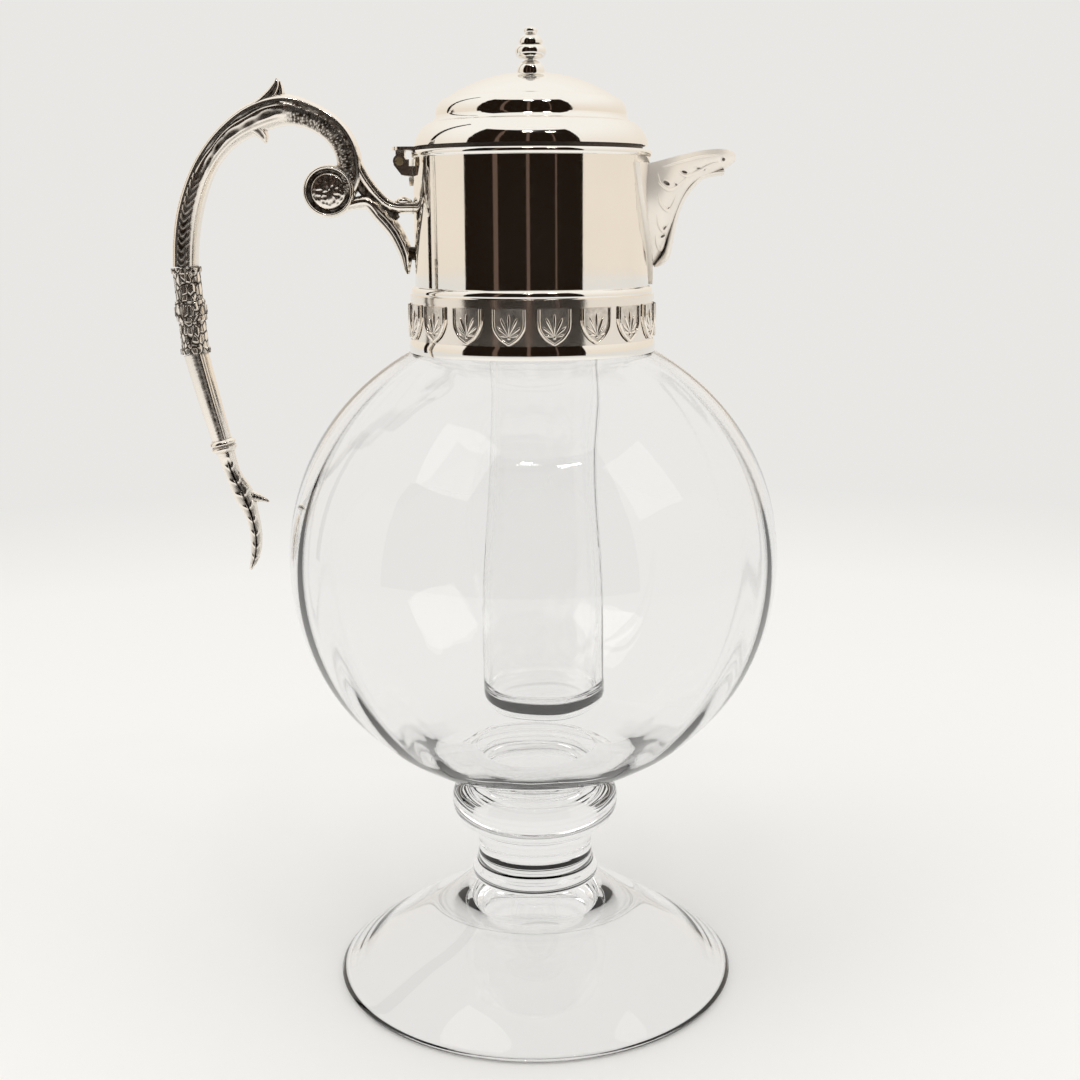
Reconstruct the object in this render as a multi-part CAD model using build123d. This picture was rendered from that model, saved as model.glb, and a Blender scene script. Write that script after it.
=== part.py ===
from build123d import *
import math
import os

# A glass lemonade jug on a foot, with a silver-plated collar, hinged lid, spout and handle,
# and a glass ice tube that hangs inside the globe.
# Millimetres. +Z is up, the spout points to +X, the handle to -X.
# The origin is the centre of the foot's resting ring.

# Driving dimensions: glass foot and stem
foot_radius = 65.5
foot_edge_height = 1.7
foot_roll_width = 2.8
foot_roll_height = 2.4
foot_land_inset = 1.3
foot_land_width = 2.0
foot_slope_inset = 19.5
foot_slope_height = 15.8
foot_hollow_height = 26.0
stem_ring_radius = 20.9
stem_ring_height = 35.0
stem_ring_top = (1.1, 2.6)
stem_ring_bottom = (0.8, 1.8)
stem_shoulder = (7.6, 7.8)
stem_waist_radius = 18.8
stem_waist_rise = 8.5
waist_flare = 0.9
waist_blend = 6.6
knop_neck_length = 2.8
knop_radius = 27.3
knop_lower = (3.4, 9.6)
knop_upper = (3.6, 5.2)
knop_bulge_drop = 1.0
joint_neck_length = 1.3
joint_radius = 19.9

# Driving dimensions: glass globe
globe_radius = 78.0
globe_joint_drop = 73.0
globe_shoulder_rise = 68.85
globe_wall = 2.6
globe_floor = 11.5
floor_flat_radius = 30.0
floor_corner_radius = 47.0
floor_corner_rise = 4.5
floor_corner_sag = 1.6
neck_radius = 32.0
neck_wall = 2.4
neck_length = 15.15
neck_bore_drop = 1.7

# Driving dimensions: ice tube
tube_base_radius = 20.0
tube_neck_radius = 17.0
tube_wall = 2.2
tube_floor = 6.0
tube_floor_gap = 10.0
tube_body_length = 84.5
tube_blend = 12.0
tube_taper = 0.4
tube_corner = 6.5
tube_rim_overhang = 3.8
tube_rim_thickness = 2.4
tube_rim_round = 0.3
tube_offset = 3.5

# Driving dimensions: collar
bedding_thickness = 3.3
collar_wall = 0.9
collar_height = 56.4
rim_cap = 1.0
rim_wire = 0.6
rim_step = 0.1
rim_height = 2.0
bead_height = 2.6
bead_depth = 1.1
frieze_height = 13.4
frieze_depth = 1.3
frieze_lip_height = 1.8
frieze_lip_depth = 0.3
shield_count = 18
shield_width = 10.2
shield_height = 10.6
shield_relief = 0.5
shield_gap = 0.6
base_height = 3.24
base_depth = 2.0
base_round = 0.3
base_clearance = 0.2
bedding_clearance = 0.2
bedding_height = 13.5
seat_drop = 6.0
seat_thickness = 1.0
seat_hole_clearance = 0.8
seat_skirt = 1.6
gasket_land = 0.6
gasket_thickness = 1.2
gasket_inset = 0.2
solder_gap = 0.05

# Driving dimensions: lid
lid_gap = 1.3
lid_inset = 0.5
lid_wall = 0.9
lid_height = 21.5
lid_flat_radius = 5.5
lid_dome_inset = 3.6
lid_dome_drop = 7.1
lid_dome_sag = 1.27
lid_shoulder_sag = 1.2
lid_step_width = 6.7
lid_step_rise = 9.0
lid_cove = (2.2, 2.1)
lid_cove_sag = -0.5
lid_skirt_sag = 0.93
bezel_width = 4.7
bezel_clearance = 1.3
bezel_lean = 0.25
bezel_depth = 3.4
bezel_notch = 15.0
stud_radius = 1.5
stud_clearance = 0.1
stud_length = 5.4
washer_radius = 4.2
washer_thickness = 0.6
nut_flats = 5.5
nut_height = 2.4

# Driving dimensions: finial, from the lid upwards
finial_foot_radius = 4.2
finial_foot_height = 0.8
finial_waist_radius = 1.7
finial_waist_height = 3.0
finial_ball_foot = (0.2, 0.4)
finial_ball_radius = 4.7
finial_ball_height = 4.2
finial_ball_top_radius = 2.4
finial_disc_gap = 0.2
finial_disc_radius = 3.6
finial_disc_height = 0.7
finial_tip_neck_radius = 1.2
finial_tip_neck_height = 1.9
finial_tip_radius = 2.1
finial_tip_height = 2.4
finial_tip_end = (1.4, 0.3)

# Driving dimensions: hinge
hinge_offset = 3.7
hinge_drop = 4.2
knuckle_radius = 1.9
pin_radius = 0.8
pin_clearance = 0.05
leaf_knuckle_width = 5.2
knuckle_gap = 0.3
ear_width = 2.7
pin_head_radius = 1.2
pin_head = 0.5
strap_thickness = 1.0
strap_width = 12.0
strap_end = 2.4
strap_inset = 0.3
bracket_plate = 1.2
bracket_width = 13.0
bracket_height = 7.8
bracket_gap = 0.4
rivet_radius = 0.6
rivet_head_radius = 1.0
rivet_head = 0.5
rivet_spacing = 8.0
rivet_edge = 1.6

# Driving dimensions: spout
spout_wall = 1.5
trough_lift = 4.0
trough_tip_wall = 0.8
spout_flange = 1.2
spout_flange_width = 39.0
spout_flange_drop = 4.0
pour_hole_width = 24.0
pour_hole_height = 24.4
pour_hole_drop = 1.2

# Driving dimensions: handle. Its places are measured from the upper screw's hole, at the
# collar's outside: out from the collar, and up.
lug_drop = 16.2
leaf_drop = 14.4
arm_end = (-71.1, -18.2)
tail_start = (-69.3, -44.8)
ferrule_radius = 4.7
ferrule_ring_radius = 5.1
ferrule_ring = 2.8
ferrule_bead = 1.6
ferrule_groove = 0.5
ferrule_chamfer = 0.4
spigot_radius = 2.6
spigot_root = 1.0
screw_radius = 1.0
screw_clearance = 0.1
screw_length = 6.0
screw_head_radius = 2.2
screw_head = 1.3
screw_washer_radius = 3.0
screw_washer = 0.6

# Heights of the glass, worked out from the table up
stem_waist_height = stem_ring_height + stem_waist_rise
knop_height = stem_waist_height + waist_blend + knop_neck_length + knop_lower[1]
joint_height = knop_height + knop_upper[1] + joint_neck_length
globe_centre_height = joint_height + globe_joint_drop
globe_floor_height = joint_height + globe_floor
neck_start_height = globe_centre_height + globe_shoulder_rise
neck_top_height = neck_start_height + neck_length
foot_land_radius = foot_radius - foot_land_inset
foot_hollow_radius = foot_land_radius - foot_land_width


def belly(end_radius, end_height, wall=0.0):
    """Centre radius and radius of the arc that leaves the globe's widest line upright.

    The arc ends at the given radius and height, on the globe's wall or inside it.
    """
    across = globe_radius - wall - end_radius
    up = end_height - globe_centre_height
    arc_radius = (across ** 2 + up ** 2) / (2 * across)
    return globe_radius - wall - arc_radius, arc_radius


def shoulder_z(radius):
    """Height of the globe's outside above its centre line, at a radius near the neck."""
    centre, arc_radius = belly(neck_radius, neck_start_height)
    return globe_centre_height + math.sqrt(arc_radius ** 2 - (radius - centre) ** 2)


# Places on the collar, which is bedded on the neck and stands on the globe's shoulder
collar_bore = neck_radius + bedding_thickness
collar_radius = collar_bore + collar_wall
frieze_bottom_height = shoulder_z(collar_radius) + base_height
frieze_top_height = frieze_bottom_height + frieze_height
bead_bottom_height = frieze_top_height
bead_top_height = bead_bottom_height + bead_height
rim_top_height = frieze_bottom_height + collar_height
collar_top_height = rim_top_height - rim_cap
seat_height = rim_top_height - seat_drop
seat_top = seat_height + seat_thickness
seat_hole_radius = tube_base_radius + seat_hole_clearance
gasket_inner_radius = seat_hole_radius + gasket_land
tube_rim_radius = tube_base_radius + tube_rim_overhang
tube_rim_bottom = seat_top + gasket_thickness
tube_top_height = tube_rim_bottom + tube_rim_thickness
tube_bottom_height = globe_floor_height + tube_floor_gap
tube_shoulder_height = tube_bottom_height + tube_body_length
pour_hole_top = seat_height - pour_hole_drop
pour_hole_bottom = pour_hole_top - pour_hole_height
spout_flange_top = rim_top_height - spout_flange_drop
spout_flange_point = bead_top_height + 2 * solder_gap
lug_height = rim_top_height - lug_drop
leaf_screw_height = lug_height - leaf_drop

# Places on the lid and hinge
lid_edge_height = rim_top_height + lid_gap
lid_edge_radius = collar_radius - lid_inset
lid_crown_height = lid_edge_height + lid_height
bezel_inner_radius = lid_edge_radius - bezel_width
bezel_radius = collar_bore - bezel_clearance
bezel_top = lid_edge_height + lid_wall
strap_bottom = lid_edge_height - strap_thickness
hinge_x = -(collar_radius + hinge_offset)
hinge_height = lid_edge_height - hinge_drop
bracket_top_height = rim_top_height - rim_height - bracket_gap
bracket_point_height = bracket_top_height - bracket_height
nut_top = lid_crown_height - lid_wall - washer_thickness
trim_height = 1.5 * lid_crown_height


def belly_arc(end_radius, end_height, wall=0.0):
    """Arc of the globe's section from its widest line to a point above or below."""
    centre, arc_radius = belly(end_radius, end_height, wall)
    up = end_height - globe_centre_height
    half_angle = math.atan2(up, end_radius - centre) / 2
    middle = (centre + arc_radius * math.cos(half_angle), 0,
              globe_centre_height + arc_radius * math.sin(half_angle))
    start = (globe_radius - wall, 0, globe_centre_height)
    return ThreePointArc(start, middle, (end_radius, 0, end_height))


def rz(points):
    """Radius and height pairs as points in the XZ plane."""
    return [(r, 0, z) for r, z in points]


def bowed(start, end, sag):
    """Arc between two radius and height pairs, its middle moved off the chord by the sag."""
    across = end[0] - start[0]
    up = end[1] - start[1]
    length = math.hypot(across, up)
    middle = ((start[0] + end[0]) / 2 - up / length * sag,
              (start[1] + end[1]) / 2 + across / length * sag)
    return ThreePointArc(*rz([start, middle, end]))


def shield_face(half, top, bottom, waist_share):
    """Flat shield across X: straight top and upper sides, and round sides down to a point."""
    waist = top - (top - bottom) * waist_share
    cheek = waist - (waist - bottom) * 0.67
    return make_face([
        Line((0, -half, top), (0, half, top)),
        Line((0, half, top), (0, half, waist)),
        ThreePointArc((0, half, waist), (0, half * 0.61, cheek), (0, 0, bottom)),
        ThreePointArc((0, 0, bottom), (0, -half * 0.61, cheek), (0, -half, waist)),
        Line((0, -half, waist), (0, -half, top)),
    ])


def leaf_face(half, top, bottom):
    """Flat face across X with a straight top and round sides that meet in a point below."""
    cheek = top - (top - bottom) * 0.52
    return make_face([
        Line((0, -half, top), (0, half, top)),
        ThreePointArc((0, half, top), (0, half * 0.66, cheek), (0, 0, bottom)),
        ThreePointArc((0, 0, bottom), (0, -half * 0.66, cheek), (0, -half, top)),
    ])


def turned(*curves):
    """Solid of revolution about the vessel's axis from the curves that bound its section."""
    return revolve(make_face(curves), Axis.Z)


def ring(inner, outer, bottom, top):
    """Plain ring of rectangular section."""
    return Pos(0, 0, (bottom + top) / 2) * (
        Cylinder(outer, top - bottom) - Cylinder(inner, top - bottom)
    )


def column(radius, bottom=0.0, top=trim_height):
    """Full cylinder about the vessel's axis, for trimming pieces to the collar."""
    return Pos(0, 0, (bottom + top) / 2) * Cylinder(radius, top - bottom)


def glass_bowl():
    bore = neck_radius - neck_wall
    bore_start = neck_start_height - neck_bore_drop
    corner = (floor_corner_radius, globe_floor_height + floor_corner_rise)
    lip_mid = (neck_radius - neck_wall / 2, 0, neck_top_height + neck_wall / 2)
    return turned(
        belly_arc(joint_radius, joint_height),
        belly_arc(neck_radius, neck_start_height),
        Line((neck_radius, 0, neck_start_height), (neck_radius, 0, neck_top_height)),
        ThreePointArc((neck_radius, 0, neck_top_height), lip_mid, (bore, 0, neck_top_height)),
        Line((bore, 0, neck_top_height), (bore, 0, bore_start)),
        belly_arc(bore, bore_start, globe_wall),
        belly_arc(*corner, globe_wall),
        bowed(corner, (floor_flat_radius, globe_floor_height), floor_corner_sag),
        Line((floor_flat_radius, 0, globe_floor_height), (0, 0, globe_floor_height)),
        Line((0, 0, globe_floor_height), (0, 0, joint_height)),
        Line((0, 0, joint_height), (joint_radius, 0, joint_height)),
    )


def hollow_points():
    """Section of the hollow under the foot, from its edge to the middle."""
    shares = [(1.0, 0.0), (0.804, 0.362), (0.514, 0.777), (0.257, 0.954), (0.0, 1.0)]
    return rz([(foot_hollow_radius * r, foot_hollow_height * z) for r, z in shares])


def glass_pedestal():
    knop_top = (knop_radius - knop_upper[0], 0, knop_height + knop_upper[1])
    knop_bottom = (knop_radius - knop_lower[0], 0, knop_height - knop_lower[1])
    neck_start = (stem_waist_radius + waist_flare, 0, stem_waist_height + waist_blend)
    ring_top = (stem_ring_radius - stem_ring_top[0], 0, stem_ring_height + stem_ring_top[1])
    ring_bottom = (stem_ring_radius - stem_ring_bottom[0], 0,
                   stem_ring_height - stem_ring_bottom[1])
    shoulder = (stem_ring_radius + stem_shoulder[0], 0, stem_ring_height - stem_shoulder[1])
    slope = (foot_radius - foot_slope_inset, 0, foot_slope_height)
    roll = (foot_radius - foot_roll_width, 0, foot_edge_height + foot_roll_height)
    edge = (foot_radius, 0, foot_edge_height)
    return turned(
        Line((0, 0, joint_height), (joint_radius, 0, joint_height)),
        Line((joint_radius, 0, joint_height), knop_top),
        ThreePointArc(knop_top, (knop_radius, 0, knop_height - knop_bulge_drop), knop_bottom),
        Line(knop_bottom, neck_start),
        ThreePointArc(neck_start, (stem_waist_radius, 0, stem_waist_height), ring_top),
        ThreePointArc(ring_top, (stem_ring_radius, 0, stem_ring_height), ring_bottom),
        Spline(ring_bottom, shoulder, slope, roll, edge),
        Line(edge, (foot_land_radius, 0, 0)),
        Line((foot_land_radius, 0, 0), (foot_hollow_radius, 0, 0)),
        Spline(*hollow_points()),
        Line((0, 0, foot_hollow_height), (0, 0, joint_height)),
    )


def ice_tube():
    corner = tube_corner
    bottom = tube_bottom_height
    floor = bottom + tube_floor
    base_bore = tube_base_radius - tube_wall
    neck_bore = tube_neck_radius - tube_wall
    inner_corner = corner - tube_wall
    blend = tube_blend
    sin45 = math.sin(math.radians(45))
    solid = turned(
        Line((0, 0, bottom), (tube_base_radius - corner, 0, bottom)),
        ThreePointArc((tube_base_radius - corner, 0, bottom),
                      (tube_base_radius - corner * (1 - sin45), 0, bottom + corner * (1 - sin45)),
                      (tube_base_radius, 0, bottom + corner)),
        Spline((tube_base_radius, 0, bottom + corner),
               (tube_base_radius - tube_taper, 0, bottom + corner + 3 * blend),
               (tube_neck_radius, 0, tube_shoulder_height),
               (tube_neck_radius, 0, tube_shoulder_height + blend),
               tangents=((0, 0, 1), (0, 0, 1))),
        Line((tube_neck_radius, 0, tube_shoulder_height + blend),
             (tube_neck_radius, 0, tube_rim_bottom)),
        Line((tube_neck_radius, 0, tube_rim_bottom), (tube_rim_radius, 0, tube_rim_bottom)),
        ThreePointArc((tube_rim_radius, 0, tube_rim_bottom),
                      (tube_rim_radius + tube_rim_round, 0, tube_rim_bottom + tube_rim_thickness / 2),
                      (tube_rim_radius, 0, tube_top_height)),
        Line((tube_rim_radius, 0, tube_top_height), (neck_bore, 0, tube_top_height)),
        Line((neck_bore, 0, tube_top_height), (neck_bore, 0, tube_shoulder_height + blend)),
        Spline((neck_bore, 0, tube_shoulder_height + blend),
               (neck_bore, 0, tube_shoulder_height),
               (base_bore - tube_taper, 0, bottom + corner + 3 * blend),
               (base_bore, 0, floor + inner_corner),
               tangents=((0, 0, -1), (0, 0, -1))),
        ThreePointArc((base_bore, 0, floor + inner_corner),
                      (base_bore - inner_corner * (1 - sin45), 0,
                       floor + inner_corner * (1 - sin45)),
                      (base_bore - inner_corner, 0, floor)),
        Line((base_bore - inner_corner, 0, floor), (0, 0, floor)),
        Line((0, 0, floor), (0, 0, bottom)),
    )
    return Pos(tube_offset, 0, 0) * solid


def tube_gasket():
    outer = tube_rim_radius - gasket_inset
    return Pos(tube_offset, 0, 0) * ring(gasket_inner_radius, outer, seat_top, tube_rim_bottom)


def tube_seat():
    outer = collar_bore - solder_gap
    ledge = ring(seat_hole_radius, outer, seat_height, seat_top)
    skirt = ring(outer - seat_thickness, outer, seat_height, seat_top + seat_skirt)
    return ledge + skirt


def neck_bedding():
    bottom = shoulder_z(neck_radius) + bedding_clearance
    top = bottom + bedding_height
    return ring(neck_radius, collar_bore, bottom, top)


def pour_opening():
    """Shield-shaped prism through the collar's wall, behind the spout."""
    outline = shield_face(pour_hole_width / 2, pour_hole_top, pour_hole_bottom, 0.45)
    start = collar_bore / 2
    end = collar_radius + spout_flange
    return Pos(start, 0, 0) * extrude(outline, amount=end - start, dir=(1, 0, 0))


def screw_hole(height, radius):
    """Cylinder along X through the collar's wall on the handle side."""
    return Pos(-collar_radius, 0, height) * Rot(0, 90, 0) * Cylinder(radius, 4 * collar_wall)


def collar_cylinder():
    bottom = shoulder_z(collar_bore) + base_clearance
    wall = ring(collar_bore, collar_radius, bottom, collar_top_height)
    wall -= pour_opening()
    wall -= screw_hole(lug_height, screw_radius + screw_clearance)
    wall -= screw_hole(leaf_screw_height, screw_radius + screw_clearance)
    return wall


def collar_rim():
    """Capping wire: it covers the wall's edge and stands out a little in a half round."""
    bottom = rim_top_height - rim_height
    outer = collar_radius + rim_wire
    shoulder = collar_radius + rim_step
    return turned(
        Line((collar_bore, 0, collar_top_height), (collar_bore, 0, rim_top_height)),
        Line((collar_bore, 0, rim_top_height), (shoulder, 0, rim_top_height)),
        ThreePointArc((shoulder, 0, rim_top_height), (outer, 0, (bottom + rim_top_height) / 2),
                      (shoulder, 0, bottom)),
        Line((shoulder, 0, bottom), (collar_radius, 0, bottom)),
        Line((collar_radius, 0, bottom), (collar_radius, 0, collar_top_height)),
        Line((collar_radius, 0, collar_top_height), (collar_bore, 0, collar_top_height)),
    )


def collar_bead():
    bottom = bead_bottom_height
    top = bead_top_height
    return turned(
        Line((collar_radius, 0, bottom), (collar_radius, 0, top)),
        ThreePointArc((collar_radius, 0, top),
                      (collar_radius + bead_depth, 0, bottom + bead_height * 0.45),
                      (collar_radius + bead_depth * 0.8, 0, bottom)),
        Line((collar_radius + bead_depth * 0.8, 0, bottom), (collar_radius, 0, bottom)),
    )


def shield():
    """One raised shield of the frieze, facing +X."""
    top = frieze_top_height - frieze_lip_height - shield_gap
    bottom = top - shield_height
    outline = shield_face(shield_width / 2, top, bottom, 0.35)
    face = collar_radius + frieze_depth
    pad = Pos(collar_radius, 0, 0) * extrude(outline, amount=2 * frieze_depth, dir=(1, 0, 0))
    return pad & ring(face - shield_relief / 2, face + shield_relief, bottom - 1, top + 1)


def frieze_band():
    face = collar_radius + frieze_depth
    band = ring(collar_radius, face, frieze_bottom_height, frieze_top_height)
    band += ring(collar_radius, face + frieze_lip_depth, frieze_top_height - frieze_lip_height,
                 frieze_top_height)
    pitch = 360 / shield_count
    for k in range(shield_count):
        band += Rot(0, 0, k * pitch) * shield()
    return band


def base_moulding():
    outer = collar_radius + base_depth
    inner_bottom = shoulder_z(collar_radius) + base_clearance
    outer_bottom = shoulder_z(outer) + base_clearance
    top_radius = outer - base_round
    return turned(
        Line((collar_radius, 0, inner_bottom), (collar_radius, 0, frieze_bottom_height)),
        Line((collar_radius, 0, frieze_bottom_height), (top_radius, 0, frieze_bottom_height)),
        bowed((top_radius, frieze_bottom_height), (outer, outer_bottom), base_round),
        Line((outer, 0, outer_bottom), (collar_radius, 0, inner_bottom)),
    )


# Spout stations: distance out from the collar, top edge and underside above the rim's top,
# and half width of the beak.
spout_stations = [
    (collar_radius + out, rim_top_height + top, rim_top_height + bottom, half)
    for out, top, bottom, half in [
        (-2.2, -4.4, -35.6, 13.6),
        (2.3, -3.4, -33.6, 13.2),
        (6.8, -2.2, -23.6, 11.6),
        (11.8, -1.0, -12.0, 9.2),
        (17.8, 0.0, -7.8, 6.6),
        (23.3, -0.1, -5.4, 4.6),
        (25.9, -1.2, -3.4, 2.6),
    ]
]


def beak_section(x, top, bottom, half):
    """Cross-section of the beak: flat on top, rounded below."""
    plane = Plane((x, 0, 0), x_dir=(0, 1, 0), z_dir=(1, 0, 0))
    knee = bottom + (top - bottom) * 0.30
    outline = make_face([
        Line((-half, top), (half, top)),
        ThreePointArc((half, top), (half * 0.78, knee), (0, bottom)),
        ThreePointArc((0, bottom), (-half * 0.78, knee), (-half, top)),
    ])
    return plane * outline


def trough_sections():
    """Stations of the trough: the beak's own, drawn back and raised by its wall."""
    rise = 0.7 * spout_wall
    sections = [
        beak_section(x - spout_wall, top + trough_lift, bottom + rise, half - spout_wall)
        for x, top, bottom, half in spout_stations[:-1]
    ]
    x, top, bottom, half = spout_stations[-1]
    sections.append(beak_section(x + spout_wall, top + trough_lift, bottom + rise,
                                 half - trough_tip_wall))
    return sections


def spout():
    body = loft([beak_section(*s) for s in spout_stations])
    trough = loft(trough_sections())
    top = spout_flange_top
    point = spout_flange_point
    outline = leaf_face(spout_flange_width / 2, top, point)
    flange = extrude(outline, amount=collar_radius + 2 * spout_flange, dir=(1, 0, 0))
    flange &= ring(collar_radius, collar_radius + spout_flange, point - 1, top + 1)
    return (body + flange) - trough - pour_opening() - column(collar_radius)


def root_point(x, z):
    """A place of the handle, from distances out and up from its upper screw's hole."""
    return -collar_radius + x, 0, lug_height + z


def tapered_run(stations):
    """Smooth solid through ellipses square to a path in the handle's plane.

    Each station holds x, z, half depth in the plane and half width across it.
    """
    sections = []
    last = len(stations) - 1
    for i, (x, z, depth, width) in enumerate(stations):
        x0, z0 = stations[max(i - 1, 0)][:2]
        x1, z1 = stations[min(i + 1, last)][:2]
        plane = Plane(root_point(x, z), x_dir=(0, 1, 0), z_dir=(x1 - x0, 0, z1 - z0))
        sections.append(plane * Ellipse(width, depth))
    return loft(sections)


arm_path = [
    (*arm_end, 3.9, 4.2),
    (-70.5, -10.4, 4.0, 4.3),
    (-69.0, -2.0, 4.0, 4.3),
    (-66.0, 7.0, 3.8, 4.2),
    (-62.0, 14.5, 3.6, 4.0),
    (-55.8, 21.3, 3.9, 4.1),
    (-47.8, 26.2, 4.7, 4.4),
    (-38.8, 28.6, 4.7, 4.4),
    (-30.4, 26.6, 4.0, 4.3),
    (-24.0, 22.5, 3.9, 4.2),
    (-20.2, 16.6, 3.8, 4.1),
    (-19.3, 9.4, 3.7, 4.0),
    (-21.4, 3.2, 3.2, 3.8),
    (-25.6, 0.4, 2.7, 3.7),
]
volute_centre = (-25.8, 4.5)
volute_radius = 6.9
volute_half_width = 3.7
strand_path = [
    (2.2, -0.5, 2.0, 3.8),
    (-1.4, -0.5, 1.9, 3.4),
    (-5.0, -0.4, 1.8, 2.8),
    (-8.6, 0.9, 1.8, 2.4),
    (-12.0, 4.3, 1.8, 2.3),
    (-15.2, 8.9, 1.8, 2.3),
    (-17.6, 13.8, 1.8, 2.3),
    (-19.4, 18.2, 1.8, 2.2),
]
web_path = [
    (-16.0, 6.2, 2.0, 2.4),
    (-11.8, 1.8, 2.2, 2.3),
    (-7.8, -1.6, 2.2, 2.2),
    (-5.4, -4.2, 1.4, 1.8),
]
leaf_path = [
    (-19.6, 0.8, 2.1, 3.2),
    (-14.2, 1.2, 2.3, 3.4),
    (-9.9, -2.8, 2.6, 3.6),
    (-5.8, -7.8, 2.5, 3.7),
    (-3.1, -13.7, 2.2, 3.3),
    (-2.5, -18.2, 1.3, 2.2),
    (-2.2, -20.6, 0.5, 0.9),
]
crown_leaf_path = [
    (-49.0, 28.2, 2.2, 3.4),
    (-45.6, 30.6, 1.9, 3.0),
    (-42.6, 33.2, 1.9, 2.4),
    (-41.0, 35.8, 1.4, 1.5),
    (-40.5, 38.1, 0.5, 0.5),
]
leaf_tip_path = [
    (-47.8, 24.6, 2.6, 3.0),
    (-45.6, 21.2, 1.6, 1.8),
    (-44.4, 19.2, 0.5, 0.6),
]


def arm_axis():
    """Plane at the arm's lower end, its normal pointing down the ferrule."""
    dx = tail_start[0] - arm_end[0]
    dz = tail_start[1] - arm_end[1]
    return Plane(root_point(*arm_end), x_dir=(0, 1, 0), z_dir=(dx, 0, dz))


ferrule_length = math.dist(arm_end, tail_start)


def spigot(start, length):
    """Round peg along the ferrule's axis."""
    return arm_axis() * (Pos(0, 0, start + length / 2) * Cylinder(spigot_radius, length))


def beyond(start, side):
    """Trimming block on one side of a place along the ferrule's axis."""
    reach = 2 * ferrule_ring_radius
    return arm_axis() * (Pos(0, 0, start + side * reach) * Cylinder(2 * reach, 2 * reach))


def threaded_socket(height):
    """Hole for a handle screw, into the handle from the collar's wall."""
    depth = screw_length - collar_wall - screw_washer + 2 * screw_clearance
    return Pos(-collar_radius - depth / 2, 0, height) * Rot(0, 90, 0) * Cylinder(
        screw_radius, depth)


def handle_arm():
    volute = Pos(*root_point(*volute_centre)) * Rot(90, 0, 0) * Cylinder(
        volute_radius, 2 * volute_half_width)
    volute = fillet(volute.edges(), volute_half_width * 0.4)
    shape = tapered_run(arm_path) + volute
    shape += tapered_run(strand_path)
    shape += tapered_run(web_path)
    shape += tapered_run(leaf_path)
    shape += tapered_run(crown_leaf_path)
    shape += tapered_run(leaf_tip_path)
    shape -= beyond(0.0, 1)
    shape += spigot(-spigot_root, ferrule_length / 2 + spigot_root - solder_gap)
    shape -= column(collar_radius)
    shape -= threaded_socket(lug_height)
    shape -= threaded_socket(leaf_screw_height)
    return shape


def handle_ferrule():
    length = ferrule_length
    low = ferrule_radius - ferrule_groove
    slope = ferrule_bead + ferrule_chamfer
    ring_start = (length - ferrule_ring) / 2
    ring_end = ring_start + ferrule_ring
    bore = spigot_radius + solder_gap
    outline = Polyline([
        (bore, solder_gap), (ferrule_radius, solder_gap), (ferrule_radius, ferrule_bead),
        (low, slope), (low, ring_start - slope),
        (ferrule_radius, ring_start - ferrule_bead), (ferrule_radius, ring_start),
        (ferrule_ring_radius, ring_start), (ferrule_ring_radius, ring_end),
        (ferrule_radius, ring_end), (ferrule_radius, ring_end + ferrule_bead),
        (low, ring_end + slope), (low, length - slope),
        (ferrule_radius, length - ferrule_bead), (ferrule_radius, length - solder_gap),
        (bore, length - solder_gap), (bore, solder_gap),
    ])
    section = Plane.XZ * make_face([outline])
    return arm_axis() * revolve(section, Axis.Z)


taper_path = [
    (*tail_start, 3.9, 3.9),
    (-66.4, -57.0, 3.6, 3.6),
    (-63.1, -70.0, 3.2, 3.2),
    (-61.4, -76.8, 2.9, 2.9),
]
tail_path = [
    (-61.6, -75.8, 2.9, 2.9),
    (-59.4, -83.2, 2.4, 2.8),
    (-56.4, -89.8, 3.2, 3.2),
    (-54.0, -96.4, 2.2, 2.9),
    (-52.9, -103.4, 1.9, 2.6),
    (-53.5, -109.8, 1.6, 2.0),
    (-55.2, -114.4, 0.5, 0.7),
]
thorn_path = [
    (-56.4, -89.6, 2.2, 2.4),
    (-51.8, -90.8, 1.4, 1.6),
    (-48.3, -92.2, 0.4, 0.5),
]
tail_ring_centre = (-62.1, -74.0)
tail_ring_radius = 4.1
tail_ring_length = 3.6


def handle_tail():
    shape = tapered_run(taper_path) + tapered_run(tail_path) + tapered_run(thorn_path)
    direction = (taper_path[3][0] - taper_path[2][0], 0, taper_path[3][1] - taper_path[2][1])
    bead = fillet(Cylinder(tail_ring_radius, tail_ring_length).edges(), tail_ring_length * 0.3)
    shape += Plane(root_point(*tail_ring_centre), x_dir=(0, 1, 0), z_dir=direction) * bead
    shape -= beyond(ferrule_length, -1)
    reach = ferrule_length / 2
    shape += spigot(reach + solder_gap, reach + spigot_root)
    return shape


def handle_screws():
    shank_start = collar_bore - screw_washer
    screws = []
    for height in (lug_height, leaf_screw_height):
        shank = Pos(-shank_start - screw_length / 2 + solder_gap, 0, height) * Rot(0, 90, 0) * (
            Cylinder(screw_radius, screw_length - 2 * solder_gap))
        head = Pos(-shank_start + screw_head / 2, 0, height) * Rot(0, 90, 0) * Cylinder(
            screw_head_radius, screw_head)
        head = fillet(head.faces().sort_by(Axis.X)[-1].edges(), screw_head * 0.4)
        slot = Pos(-shank_start + screw_head, 0, height) * Box(
            screw_head, 2 * screw_head_radius + 1, screw_head / 2)
        screws.append((shank + head - slot).solid())
    return Compound(children=screws)


def handle_washers():
    washers = []
    for height in (lug_height, leaf_screw_height):
        disc = Cylinder(screw_washer_radius, 2 * screw_washer) - Cylinder(
            screw_radius + screw_clearance, 2 * screw_washer)
        disc = Pos(-collar_bore, 0, height) * Rot(0, 90, 0) * disc
        washers.append((disc & column(collar_bore)).solid())
    return Compound(children=washers)


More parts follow.
